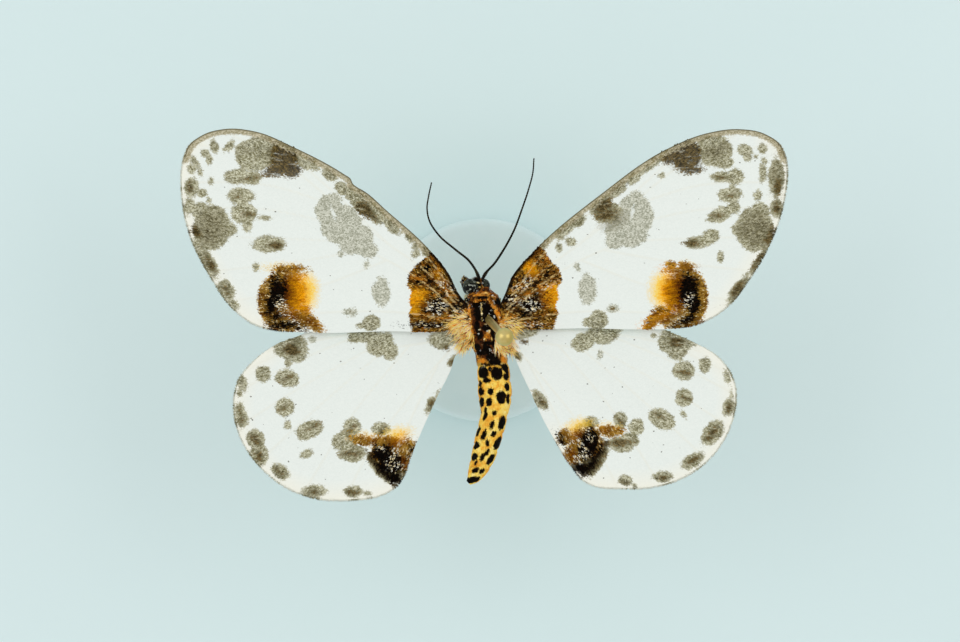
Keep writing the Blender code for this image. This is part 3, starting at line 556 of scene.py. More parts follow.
def tube_rings(path, radii, sides, reference):
    """Rings at radius (cos a across + sin a over) round each point of the path.

    Across is the reference crossed with the path's own way, and over is that way crossed
    with across, both of length 1.
    """
    way = unit(np.gradient(path, axis=0))
    across = unit(np.cross(np.broadcast_to(np.asarray(reference, float), way.shape), way))
    over = np.cross(way, across)
    angle = circle(sides)[None, :, None]
    radius = np.asarray(radii, float)[:, None, None]
    return path[:, None] + radius * (np.cos(angle) * across[:, None] + np.sin(angle) * over[:, None])


def join_shapes(shapes):
    """One set of points and faces from several (points, quads, triangles)."""
    offsets = np.cumsum([0] + [len(shape[0]) for shape in shapes[:-1]])
    quads, triangles = (
        np.vstack([shape[kind] + offset for shape, offset in zip(shapes, offsets)]) for kind in (1, 2)
    )
    return np.vstack([shape[0] for shape in shapes]), quads, triangles


# A tuft's seven points: three corners at the root, three half way and the tip
TUFT_STEPS = np.array([0, 0, 0, 0.5, 0.5, 0.5, 1.0])
TUFT_WIDTHS = np.array([0.7, 0.7, 0.7, 1.0, 1.0, 1.0, 0.0])
TUFT_ANGLES = np.radians([90, 210, 330, 90, 210, 330, 0])
TUFT_FACES = np.array([
    (0, 2, 1), (0, 1, 4), (0, 4, 3), (1, 2, 5), (1, 5, 4), (2, 0, 3), (2, 3, 5),
    (3, 4, 6), (4, 5, 6), (5, 3, 6),
])
TUFT_POINTS = len(TUFT_STEPS)
# How wide a tuft's patch is on the map, as a share of the map
TUFT_PATCH = 0.003


def add_tufts(name, tufts, material_name):
    """A coat piece of tapered tufts, each closed, from one dictionary of arrays.

    At s from 0 at the root to 1 at the tip a tuft's middle is
    root + length (s along + (lift s + curl s^2) up), and its three corners stand round it
    at width w(s) (cos a side + flatness sin a up), where w is 0.7 at the root, 1 half way
    and 0 at the tip. On the map OFBake each tuft is a small patch at its root's place.
    """
    roots, count = tufts["root"], len(tufts["root"])
    along = unit(tufts["along"])
    side = unit(np.cross(tufts["up"], along))
    up = np.cross(along, side)
    length, width, lift, curl = (tufts[key][:, None, None] for key in ("length", "width", "lift", "curl"))
    s = TUFT_STEPS[None, :, None]
    middle = roots[:, None] + length * (s * along[:, None] + (lift * s + curl * s**2) * up[:, None])
    spread = width * TUFT_WIDTHS[None, :, None]
    corner = np.cos(TUFT_ANGLES)[None, :, None] * side[:, None]
    corner = corner + tufts["flatness"] * np.sin(TUFT_ANGLES)[None, :, None] * up[:, None]
    points = (middle + spread * corner).reshape(-1, 3)
    faces = (TUFT_FACES[None] + TUFT_POINTS * np.arange(count)[:, None, None]).reshape(-1, 3)
    mesh = make_mesh(name, points, triangles=faces)
    shares = np.stack([0.5 * np.cos(TUFT_ANGLES) * TUFT_WIDTHS, TUFT_STEPS - 0.5], axis=1)
    places = (tufts["map"][:, None] + TUFT_PATCH * shares[None]).reshape(-1, 2)
    corners = np.empty(len(mesh.loops), np.int32)
    mesh.loops.foreach_get("vertex_index", corners)
    mesh.uv_layers.new(name="OFBake").data.foreach_set("uv", places[corners].astype(np.float32).ravel())
    fields = {key: np.repeat(values, TUFT_POINTS) for key, values in tufts["fields"].items()}
    fields["tuft_share"] = np.tile(TUFT_STEPS, count)
    fields["tuft_tone"] = np.repeat(tufts["tone"], TUFT_POINTS)
    add_fields(mesh, fields, np.repeat(roots, TUFT_POINTS, axis=0))
    add_piece(name, mesh, material_name)


def paint(red, green, blue):
    """A colour picked on a screen, 0 to 255, as Blender's linear colour."""
    shares = np.array([red, green, blue]) / 255
    linear = np.where(shares <= 0.04045, shares / 12.92, ((shares + 0.055) / 1.055) ** 2.4)
    return tuple(float(value) for value in linear)


def colour_property(name, description, *screen):
    """A colour that a user may change, its default as picked on a screen."""
    return FloatVectorProperty(
        name=name, description=description, subtype="COLOR", size=3, min=0.0, max=1.0, default=paint(*screen)
    )


def length_property(name, description, default):
    """A length that a user may change, its default in millimetres."""
    return FloatProperty(
        name=name, description=description, default=default * MM, min=0.0, unit="LENGTH", precision=6
    )


def count_property(name, description, default):
    """A number of tufts that a user may change."""
    return IntProperty(name=name, description=description, default=default, min=10)


class MothSizes(bpy.types.PropertyGroup):
    membrane: length_property("Wing thickness", "Thickness of a wing's membrane", 0.09)
    vein_rise: length_property("Vein rise", "How far a vein stands out of the membrane", 0.035)
    fringe: length_property("Fringe", "Length of the hair scales along the outer margins", 0.24)
    raised_scale: length_property("Raised scale", "Length of the scales that stand on the patches", 0.16)
    hair: length_property("Hair", "Length of the hair on the thorax", 0.25)
    base_hair: length_property("Wing base hair", "Length of the long hair behind the wing hinges", 1.1)
    body_scale: length_property("Body scale", "Length of the scales on the abdomen", 0.19)
    feeler: length_property("Feeler radius", "Radius of a feeler near the head", 0.085)
    pin: length_property("Pin radius", "Radius of the pin's shaft", 0.25)
    pin_ball: length_property("Pin head radius", "Radius of the pin's ball", 0.6)
    base: length_property("Base radius", "Radius of the stand's disc", 7.0)
    fringe_count: count_property("Fringe tufts", "Tufts along one wing's margin", 3600)
    raised_count: count_property("Raised scales", "Most scales that stand on a wing's upper side", 9000)
    hair_count: count_property("Thorax hairs", "Hair tufts on the thorax", 11000)
    scale_count: count_property("Abdomen scales", "Scale tufts on the abdomen", 19000)


class MothColours(bpy.types.PropertyGroup):
    white: colour_property("White", "Ground colour of the wings", 239, 245, 239)
    cream: colour_property("Cream", "Wing margins and veins", 250, 246, 228)
    grey: colour_property("Grey", "The grey blotches", 131, 126, 88)
    pale: colour_property("Pale grey", "The blotch over the cell", 146, 147, 124)
    umber: colour_property("Umber", "Dark scales in the blotches", 62, 51, 21)
    rim: colour_property("Rim", "The front edge of the forewings", 146, 136, 98)
    ochre: colour_property("Ochre", "Edge of the orange patches", 136, 98, 30)
    orange: colour_property("Orange", "Middle of the orange patches", 248, 170, 12)
    glow: colour_property("Yellow", "Where orange fades into white", 255, 212, 60)
    black: colour_property("Black", "Middle of the dark patches and the spots", 10, 6, 3)
    fleck: colour_property("Fleck", "Shining pale scales on the black", 250, 246, 228)
    basal: colour_property("Wing base", "Brown of the patch by the hinge", 62, 35, 9)
    abdomen: colour_property("Abdomen", "Yellow of the abdomen", 255, 217, 95)
    # Also paints the shade on the abdomen's sides
    abdomen_side: colour_property("Abdomen side", "Orange of the abdomen", 236, 156, 40)
    thorax: colour_property("Thorax", "Brown of the thorax and head", 72, 38, 16)
    thorax_orange: colour_property("Thorax stripe", "Orange stripes of the thorax", 226, 138, 34)
    hair: colour_property("Hair", "Cream hair of the body", 255, 219, 120)
    eye: colour_property("Eye", "The compound eyes", 10, 11, 8)
    leg: colour_property("Leg", "Legs and feelers", 18, 15, 10)
    brass: colour_property("Pin", "The pin's metal", 192, 168, 92)


class StageSettings(bpy.types.PropertyGroup):
    floor: colour_property("Floor", "Colour of the plain floor", 220, 238, 238)
    side_light: FloatProperty(
        name="Side lights", description="Power of each side light", default=0.25, unit="POWER"
    )
    sky_light: FloatProperty(
        name="Sky light", description="Strength of the even light from all sides", default=0.76
    )


class NodeDesk:
    """Adds nodes to one tree. An input is given as a number, a colour or another socket."""

    def __init__(self, tree):
        self.tree = tree

    def add(self, kind, values=(), **settings):
        """A new node with these settings, its inputs joined to the values."""
        node = self.tree.nodes.new(kind)
        for name, value in settings.items():
            setattr(node, name, value)
        for socket, value in dict(values).items():
            self.join(value, node.inputs[socket])
        return node

    def join(self, value, socket):
        """Links a socket to an input, or writes a plain value into it."""
        if isinstance(value, bpy.types.NodeSocket):
            self.tree.links.new(value, socket)
        elif socket.type == "RGBA" and len(value) == 3:
            socket.default_value = (*value, 1.0)
        else:
            socket.default_value = value

    def field(self, name):
        """The number that each point of a piece carries under this name."""
        return self.add("ShaderNodeAttribute", attribute_name=name).outputs["Fac"]

    def math(self, operation, first, second, clamp=False):
        """One operation on two numbers, held between 0 and 1 with clamp."""
        values = {0: first, 1: second}
        return self.add("ShaderNodeMath", values, operation=operation, use_clamp=clamp).outputs[0]

    def plus(self, first, second, clamp=False):
        return self.math("ADD", first, second, clamp)

    def times(self, first, second):
        return self.math("MULTIPLY", first, second)

    def swing(self, value, reach):
        """How far a value of 0 to 1 is from one half, times the reach."""
        return self.times(self.math("SUBTRACT", value, 0.5), reach)

    def band(self, value, low, high, most=1.0):
        """0 at the low value, the most at the high one and straight between."""
        values = {"Value": value, "From Min": low, "From Max": high}
        share = self.add("ShaderNodeMapRange", values, clamp=True).outputs[0]
        return share if most == 1.0 else self.times(share, most)

    def mix(self, share, first, second, blend="MIX"):
        """The first colour with this share of the second one over it."""
        node = self.add("ShaderNodeMix", data_type="RGBA", blend_type=blend)
        self.join(share, node.inputs[0])
        self.join(first, node.inputs[6])
        self.join(second, node.inputs[7])
        return node.outputs[2]

    def stretched(self, place, factors):
        return self.add("ShaderNodeVectorMath", {0: place, 1: factors}, operation="MULTIPLY").outputs[0]

    def millimetres(self):
        return self.stretched(self.add("ShaderNodeTexCoord").outputs["Object"], (1 / MM, 1 / MM, 1 / MM))

    def grain_place(self, stretch):
        """The place in millimetres that a point reads its grain at, each axis times its stretch."""
        place = self.add("ShaderNodeAttribute", attribute_name="grain_place").outputs["Vector"]
        return self.stretched(place, stretch)

    def noise(self, places, scale, detail=2.0, roughness=0.5):
        """A soft number of 0 to 1 that wanders, with this many waves to a millimetre."""
        values = {"Vector": places, "Scale": scale, "Detail": detail, "Roughness": roughness}
        return self.add("ShaderNodeTexNoise", values).outputs["Fac"]

    def group(self, name, values=()):
        """The outputs of a node group placed here with its own values."""
        return self.add("ShaderNodeGroup", values, node_tree=bpy.data.node_groups[name]).outputs


def new_group(name, inputs, outputs):
    """An empty shader group with its desk and its two end nodes.

    The inputs are numbers with their defaults. The outputs are numbers too, apart from one
    that is called Colour.
    """
    group = bpy.data.node_groups.new(name, "ShaderNodeTree")
    for socket, default in inputs.items():
        made = group.interface.new_socket(name=socket, in_out="INPUT", socket_type="NodeSocketFloat")
        made.default_value = default
    for socket in outputs:
        kind = "NodeSocketColor" if socket == "Colour" else "NodeSocketFloat"
        group.interface.new_socket(name=socket, in_out="OUTPUT", socket_type=kind)
    desk = NodeDesk(group)
    return desk, desk.add("NodeGroupInput").outputs, desk.add("NodeGroupOutput").inputs


def scale_grain_group():
    """Rows of scales as cells: two random numbers to a scale, and a soft number that wanders.

    The cells are Voronoi cells of the place in millimetres, longer outwards than along, and
    Edge grows from the middle of each cell to its border.
    """
    desk, given, out = new_group(
        "scale_grain", {"Cells per mm": 14.0, "Blots per mm": 1.9}, ("Scale", "Second", "Blot", "Edge")
    )
    places = desk.grain_place((0.8, 1.1, 0.25))
    cells = desk.add("ShaderNodeTexVoronoi", {"Vector": places, "Scale": given["Cells per mm"]})
    parts = desk.add("ShaderNodeSeparateColor", {"Color": cells.outputs["Color"]}).outputs
    desk.join(parts[0], out["Scale"])
    desk.join(parts[1], out["Second"])
    desk.join(cells.outputs["Distance"], out["Edge"])
    desk.join(desk.noise(places, given["Blots per mm"], 4.0, 0.6), out["Blot"])


def ragged_mask_group():
    """A mark's cover: its depth in millimetres, made ragged scale by scale, over its softness."""
    inputs = {"Depth": 0.0, "Scale": 0.5, "Blot": 0.5, "Raggedness": 0.15, "Wander": 0.5, "Softness": 0.12}
    desk, given, out = new_group("ragged_mask", inputs, ("Cover",))
    ragged = desk.swing(given["Scale"], given["Raggedness"])
    wander = desk.swing(given["Blot"], given["Wander"])
    depth = desk.plus(desk.plus(given["Depth"], ragged), wander)
    desk.join(desk.plus(desk.math("DIVIDE", depth, given["Softness"]), 0.5, clamp=True), out["Cover"])


def mask_maker(desk, grain):
    """Returns a function that masks a named depth field with the scale grain given."""
    def mask(field, raggedness=0.15, wander=0.5, softness=0.12, density=1.0, offset=0.0):
        """The cover of a field, given by its name or its socket, times the density."""
        depth = field if isinstance(field, bpy.types.NodeSocket) else desk.field(field)
        values = {
            "Depth": desk.plus(depth, offset), "Scale": grain["Scale"], "Blot": grain["Blot"],
            "Raggedness": raggedness, "Wander": wander, "Softness": softness,
        }
        return desk.times(desk.group("ragged_mask", values)["Cover"], density)
    return mask


def wing_colour_group(colours):
    """The wings' markings, read from the depth fields that wings and their tufts carry."""
    desk, _, out = new_group("wing_colour", {}, ("Colour", "Roughness", "Height"))
    mix, band, times, plus, field = desk.mix, desk.band, desk.times, desk.plus, desk.field
    grain = desk.group("scale_grain")
    mask = mask_maker(desk, grain)
    fine, second, blot = grain["Scale"], grain["Second"], grain["Blot"]
    streak = desk.noise(desk.grain_place((0.7, 3.2, 0.4)), 1.5, 3.0, 0.6)
    clump = desk.noise(desk.grain_place((1.1, 1.3, 0.4)), 4.5, 2.0, 0.6)
    drift = desk.noise(desk.grain_place((1.0, 1.0, 0.4)), 1.6, 2.0, 0.5)
    vein = field("vein_distance")

    white = mix(times(fine, 0.3), colours.white, paint(223, 231, 226))
    margin = band(field("margin_distance"), 1.3, 0.0, 0.6)
    colour = mix(margin, white, colours.cream)
    colour = mix(band(vein, 0.12, 0.03, 0.4), colour, paint(238, 238, 224))

    pale = mix(band(second, 0.1, 0.9), colours.pale, paint(216, 217, 200))
    colour = mix(mask("pale", 0.14, 0.4, 0.09, 0.93), colour, pale)
    colour = mix(mask("clear", 0.1, 0.1, 0.06, 0.8), colour, colours.white)

    grey = mix(band(fine, 0.2, 0.95), colours.grey, paint(226, 225, 198))
    grey = mix(band(blot, 0.42, 0.7, 0.4), grey, paint(112, 104, 70))
    inner = plus(field("grey"), desk.swing(blot, 0.35))
    grey = mix(band(inner, 0.13, 0.02, 0.3), grey, paint(118, 112, 80))
    colour = mix(mask("grey", 0.14, 0.35, 0.09, 0.96), colour, grey)
    shade = mix(band(fine, 0.2, 1.0), paint(82, 74, 44), paint(144, 136, 100))
    colour = mix(mask("shade", 0.3, 0.6, 0.6, 0.6), colour, shade)
    umber = mix(band(fine, 0.3, 1.0), colours.umber, paint(124, 103, 54))
    cover = times(mask("umber", 0.22, 0.4, 0.12, 0.92, -0.02), band(streak, 0.3, 0.44))
    colour = mix(cover, colour, umber)

    rim = mix(band(fine, 0.3, 1.0), colours.rim, paint(208, 200, 172))
    edge = field("rim_depth")
    colour = mix(mask(edge, 0.12, 0.15, 0.1, 0.92), colour, rim)
    colour = mix(mask(edge, 0.04, 0.04, 0.05, 0.8, 0.07 - RIM_WIDTH), colour, paint(74, 68, 40))

    colour = mix(mask("glow", 0.3, 0.35, 0.65, 0.9, -0.06), colour, colours.glow)
    ochre = mix(band(fine, 0.15, 0.95), colours.ochre, paint(214, 168, 70))
    ochre = mix(band(blot, 0.45, 0.62), ochre, paint(108, 68, 16))
    ochre = mix(band(second, 0.84, 0.9), ochre, paint(230, 208, 156))
    colour = mix(mask("ochre", 0.2, 0.4, 0.12), colour, ochre)
    orange = mix(band(streak, 0.45, 0.7), colours.orange, paint(230, 142, 14))
    shadow = plus(field("black"), desk.swing(streak, 0.9))
    shadow = band(plus(shadow, desk.swing(fine, 0.35)), -1.05, -0.12, 0.96)
    burnt = mix(shadow, orange, paint(92, 42, 8))
    colour = mix(mask("orange", 0.3, 0.4, 0.5), colour, burnt)

    tawny = mix(band(streak, 0.42, 0.62), paint(190, 118, 26), paint(112, 62, 12))
    mottled = mix(band(drift, 0.42, 0.6), colours.basal, tawny)
    olive = mix(band(fine, 0.2, 1.0), paint(110, 76, 18), paint(188, 142, 52))
    mottled = mix(band(streak, 0.46, 0.58, 0.85), mottled, olive)
    mottled = mix(mask("basal_tawny", 0.3, 0.5, 0.4, 0.85), mottled, tawny)
    mottled = mix(band(blot, 0.53, 0.6), mottled, colours.black)
    mottled = mix(band(fine, 0.78, 0.88, 0.5), mottled, paint(214, 156, 56))
    mottled = mix(band(second, 0.26, 0.16, 0.8), mottled, colours.black)
    gilt = times(band(clump, 0.52, 0.58), band(second, 0.6, 0.7))
    mottled = mix(times(gilt, 0.75), mottled, paint(240, 204, 124))
    basal = mask("basal", 0.14, 0.35, 0.08)
    colour = mix(basal, colour, mottled)
    shadow = plus(field("basal_black"), desk.swing(fine, 0.5))
    bright = mix(band(second, 0.6, 0.9, 0.5), orange, colours.glow)
    burnt = mix(band(shadow, -0.55, 0.0), bright, paint(94, 42, 8))
    colour = mix(times(mask("basal_orange", 0.35, 0.5, 0.4, 0.95), basal), colour, burnt)
    dark = mix(band(second, 0.7, 1.0, 0.3), colours.black, paint(62, 34, 12))
    colour = mix(mask("basal_black", 0.3, 0.5, 0.25), colour, dark)
    front = times(mask(edge, 0.08, 0.12, 0.12, 0.95, 0.17 - RIM_WIDTH), basal)
    colour = mix(front, colour, dark)
    vein_streak = times(band(vein, 0.07, 0.03), band(streak, 0.45, 0.52))
    cream_vein = times(times(vein_streak, basal), 0.65)
    colour = mix(cream_vein, colour, paint(240, 212, 150))

    colour = mix(mask("black", 0.3, 0.5, 0.2), colour, dark)
    flecked = times(band(fine, 0.56, 0.6), band(clump, 0.46, 0.5))
    flecked = times(mask("fleck", 0.15, 0.3, 0.2), flecked)
    fleck = mix(band(second, 0.45, 0.6), colours.fleck, paint(246, 226, 176))
    colour = mix(flecked, colour, fleck)
    speck = band(second, 0.9985, 0.999, 0.75)
    colour = mix(speck, colour, colours.umber)

    desk.join(colour, out["Colour"])
    desk.join(band(second, -1.2, 1.6), out["Roughness"])
    desk.join(plus(times(fine, 0.7), times(grain["Edge"], -0.6)), out["Height"])


def body_colour_group(colours):
    """The body's markings, read from the depth fields that the skin and its coat carry."""
    desk, _, out = new_group("body_colour", {}, ("Colour", "Roughness", "Height"))
    mix, band, times, plus, field = desk.mix, desk.band, desk.times, desk.plus, desk.field
    grain = desk.group("scale_grain", {"Cells per mm": 10.0, "Blots per mm": 2.2})
    mask = mask_maker(desk, grain)
    fine, second, blot = grain["Scale"], grain["Second"], grain["Blot"]
    # Painted shade: more orange towards the abdomen's sides seen from above, where the round body turns away
    # from the light
    yellow = mix(band(field("body_side"), 0.75, 1.4), colours.abdomen, colours.abdomen_side)
    yellow = mix(band(blot, 0.46, 0.6, 0.8), yellow, colours.abdomen_side)
    # Painted highlights: pale cream blots on the yellow that stand for light caught by the abdomen's scales
    pale = times(band(blot, 0.48, 0.38), band(second, 0.3, 0.6))
    yellow = mix(times(pale, 0.6), yellow, paint(255, 236, 160))
    brown = mix(band(fine, 0.3, 1.0), colours.thorax, paint(138, 76, 26))
    brown = mix(band(blot, 0.5, 0.6), brown, colours.black)
    colour = mix(band(field("abdomen_depth"), -0.25, 0.35), brown, yellow)
    stripe = mix(band(second, 0.4, 1.0), colours.thorax_orange, paint(250, 190, 88))
    colour = mix(mask("orange", 0.25, 0.3, 0.2, 0.9), colour, stripe)
    dark = mix(band(second, 0.8, 1.0, 0.25), colours.black, paint(58, 44, 30))
    colour = mix(mask("dark", 0.08, 0.14, 0.05, 1.0, 0.012), colour, dark)
    hair = mix(band(second, 0.45, 0.75, 0.85), colours.hair, paint(255, 244, 204))
    colour = mix(mask("cream", 0.1, 0.1, 0.05, 0.95), colour, hair)
    specks = times(band(second, 0.95, 0.965), band(field("abdomen_depth"), 0.5, -0.5))
    colour = mix(times(specks, 0.7), colour, paint(214, 214, 206))
    desk.join(colour, out["Colour"])
    desk.join(band(second, -1.0, 1.6), out["Roughness"])
    desk.join(plus(fine, times(blot, 0.6)), out["Height"])


def new_material(name, roughness=0.6, **constants):
    """A Principled material with its desk. Numbers that are the same all over are set here."""
    material = bpy.data.materials.new(name)
    material.use_nodes = True
    shader = material.node_tree.nodes["Principled BSDF"]
    shader.inputs["Roughness"].default_value = roughness
    for socket, value in constants.items():
        shader.inputs[socket.replace("_", " ")].default_value = value
    return material, NodeDesk(material.node_tree), shader.inputs


def bump(desk, height, distance, strength=0.5):
    """The normal that a height bends, its full depth being the distance in millimetres."""
    values = {"Height": height, "Distance": distance * MM, "Strength": strength}
    return desk.add("ShaderNodeBump", values).outputs["Normal"]


def scaled_material(name, group, bump_depth, **constants):
    """Scales or hair: the group's colour and roughness, its grain as bump, and a faint specular."""
    material, desk, shader = new_material(name, Specular_IOR_Level=0.03, **constants)
    made = desk.group(group)
    desk.join(made["Colour"], shader["Base Color"])
    desk.join(made["Roughness"], shader["Roughness"])
    desk.join(bump(desk, made["Height"], bump_depth), shader["Normal"])
    return material


def tuft_material(name, group, highlight_gain=1.3):
    """Tufts take the skin's colour, each in its own tone, with a painted highlight that brightens the tip by
    the gain and makes up for the shade the tufts cast on one another.
    """
    material, desk, shader = new_material(name, 0.62, Specular_IOR_Level=0.03)
    made = desk.group(group)
    tone = desk.field("tuft_tone")
    low = desk.band(tone, 0.5, 0.0, 0.35)
    darker = desk.mix(low, made["Colour"], paint(110, 96, 80), "MULTIPLY")
    # Painted highlight: brighter towards the tip, more so on tufts of a high tone
    painted_tip_light = desk.times(desk.band(tone, 0.3, 1.0), desk.band(desk.field("tuft_share"), 0.0, 1.0))
    colour = desk.mix(painted_tip_light, darker, (highlight_gain, highlight_gain, highlight_gain * 0.96), "MULTIPLY")
    desk.join(colour, shader["Base Color"])
    desk.join(made["Roughness"], shader["Roughness"])
    desk.join(bump(desk, desk.noise(desk.millimetres(), 30.0), 0.01), shader["Normal"])
    return material


def plain_material(name, colour, other, blots, roughness, bump_depth, specular=0.5, metallic=0.0):
    """Two colours in blots of this many to a millimetre, with fine bump and worn roughness."""
    material, desk, shader = new_material(name, roughness, Specular_IOR_Level=specular, Metallic=metallic)
    places = desk.millimetres()
    blot = desk.noise(places, blots, 4.0, 0.6)
    fine = desk.noise(places, blots * 9, 3.0, 0.6)
    desk.join(desk.mix(desk.band(blot, 0.4, 0.7), colour, paint(*other)), shader["Base Color"])
    desk.join(desk.plus(desk.times(fine, 0.25), roughness - 0.12), shader["Roughness"])
    desk.join(bump(desk, fine, bump_depth), shader["Normal"])
    return material


def eye_material(colours):
    """A glossy dome of tiny lenses: Voronoi cells as bump, with paler olive blots and small pale spots of
    painted reflection.
    """
    material, desk, shader = new_material(
        "eye_lenses", 0.3, Coat_Weight=0.05, Coat_Roughness=0.1, Specular_IOR_Level=0.06
    )
    places = desk.millimetres()
    cells = desk.add("ShaderNodeTexVoronoi", {"Vector": places, "Scale": 22.0}).outputs["Distance"]
    colour = desk.mix(desk.band(desk.noise(places, 2.2), 0.46, 0.62), colours.eye, paint(64, 68, 54))
    # Painted reflection: small pale spots in the colour that stand for light mirrored on the glassy lenses
    painted_glints = desk.band(desk.noise(places, 5.0), 0.57, 0.63, 0.75)
    colour = desk.mix(painted_glints, colour, paint(190, 196, 180))
    colour = desk.mix(desk.band(cells, 0.4, 0.8, 0.5), colour, colours.black)
    desk.join(colour, shader["Base Color"])
    desk.join(bump(desk, desk.times(cells, -1.0), 0.03, 0.9), shader["Normal"])
    return material


def material_named(name):
    """The material of this name, made with its groups when a piece first needs it."""
    if name in bpy.data.materials:
        return bpy.data.materials[name]
    colours, floor = bpy.context.scene.moth_colours, bpy.context.scene.moth_stage.floor
    if "scale_grain" not in bpy.data.node_groups:
        scale_grain_group()
        ragged_mask_group()
        wing_colour_group(colours)
        body_colour_group(colours)
    makers = {
        "wing_membrane": lambda: scaled_material(name, "wing_colour", 0.012),
        # The last number of a tuft material is its painted tip highlight; above 1 the tips give back more
        # light than falls on them
        "wing_tufts": lambda: tuft_material(name, "wing_colour", 1.12),
        "body_skin": lambda: scaled_material(name, "body_colour", 0.03),
        "body_tufts": lambda: tuft_material(name, "body_colour", 1.45),
        "hinge_tufts": lambda: tuft_material(name, "body_colour", 2.0),
        "eye_lenses": lambda: eye_material(colours),
        "leg_cuticle": lambda: plain_material(name, colours.leg, (84, 68, 40), 3.0, 0.5, 0.02, 0.15),
        "feeler_cuticle": lambda: plain_material(name, colours.leg, (46, 40, 24), 2.0, 0.5, 0.01, 0.06),
        "pin_brass": lambda: plain_material(
            name, colours.brass, (214, 196, 128), 1.2, 0.32, 0.003, metallic=0.85
        ),
        "disc_paint": lambda: plain_material(name, floor, (216, 236, 236), 0.6, 0.7, 0.01, 0.1),
        "floor_paint": lambda: plain_material(name, floor, (218, 237, 237), 0.02, 0.8, 0.02, 0.1),
    }
    return makers[name]()


def sheet_height(out, fore):
    """Height of a wing above its level: a rise, a sag towards the tip and a slight twist."""
    share = out / HALF_SPAN
    return WING_RISE * out + WING_SAG * -(share**2) + WING_TWIST * share * fore / HALF_SPAN


def wing_parts(name):
    """The kind of a wing, its side as -1 or 1, its level, and its two edges as fine lines."""
    kind, side_name = name.split("_")
    lead, trail = WING_PLANS[name]
    level = FOREWING_LEVEL if kind == "forewing" else HINDWING_LEVEL
    side = SIDES[side_name]
    return kind, side, level, smooth_line(lead, SPAN_STEPS), smooth_line(trail, SPAN_STEPS)


SPAN_STEPS = 230
CHORD_STEPS = 96
# How far out the outer margin starts on the trailing edge and ends past the apex
MARGIN_FROM = {"forewing": 12.5, "hindwing": 4.6}
MARGIN_TO = {"forewing": 18.9, "hindwing": 13.4}
# Nearer in than this, a hindwing's margin is only what lies behind the line
HIND_MARGIN_OUT, HIND_MARGIN_BEHIND = 9, -7.5


def margin_line(name):
    """The outer margin: the trailing edge past the hind corner, then on round the apex."""
    kind, _, _, lead, trail = wing_parts(name)
    out, fore = trail.T
    on_margin = (kind == "forewing") | (fore < HIND_MARGIN_BEHIND) | (out > HIND_MARGIN_OUT)
    tip = lead[::-1]
    tip = tip[tip[:, 0] > MARGIN_TO[kind]]
    return np.vstack([trail[(out > MARGIN_FROM[kind]) & on_margin], tip[1:]])


def wing_fields(name, plan):
    """Every mark's depth at plan places (out, fore), and the distances to veins and edges."""
    kind, _, _, lead, _ = wing_parts(name)
    marks = MARKS[name]
    fields = {key: oval_field(plan, marks.get(key, [])) for key in WING_FIELDS}
    if "basal_edge" in marks:
        fore, out = np.array(marks["basal_edge"]).T
        fields["basal"] = np.interp(plan[:, 1], fore, out) - plan[:, 0]
        fields["rim_depth"] = RIM_WIDTH - distance_to_lines(plan, [lead])
    else:
        fields["basal"] = np.full(len(plan), OUTSIDE)
        fields["rim_depth"] = np.full(len(plan), OUTSIDE)
    lines = [smooth_line(line, VEIN_STEPS) for line in VEINS[kind]]
    fields["vein_distance"] = distance_to_lines(plan, lines)
    fields["margin_distance"] = distance_to_lines(plan, [margin_line(name)])
    return fields


WING_FIELDS = (
    "grey", "pale", "clear", "shade", "umber", "ochre", "orange", "glow", "black", "fleck",
    "basal_orange", "basal_tawny", "basal_black",
)
RIM_WIDTH = 0.38
VEIN_STEPS = 24
# In millimetres: a fold's rise and reach along each vein, a vein's own reach, the slow ripple
FOLD_RISE, FOLD_REACH, VEIN_REACH, RIPPLE = 0.05, 0.55, 0.09, 0.03


def wing_place(name, plan, vein_distance, face, sizes):
    """Points on a wing's upper (face 1) or under (face -1) side over plan places.

    The height is level + sheet height + fold + ripple + face times half the thickness. With
    d the distance to the nearest vein, the fold is its rise times exp(-(d / reach)^2), the
    half thickness grows in the same way by the vein's own rise, and the ripple is a product
    of two sines of the plan place.
    """
    _, side, level, _, _ = wing_parts(name)
    out, fore = plan.T
    fold = FOLD_RISE * np.exp(-((vein_distance / FOLD_REACH) ** 2))
    half = 0.5 * sizes.membrane / MM + sizes.vein_rise / MM * np.exp(-((vein_distance / VEIN_REACH) ** 2))
    ripple = RIPPLE * np.sin(out * 0.9 + fore * 0.4) * np.sin(fore * 0.7 - out * 0.3)
    height = level + sheet_height(out, fore) + fold + ripple + face * half
    return np.stack([side * out, fore, height], axis=1)


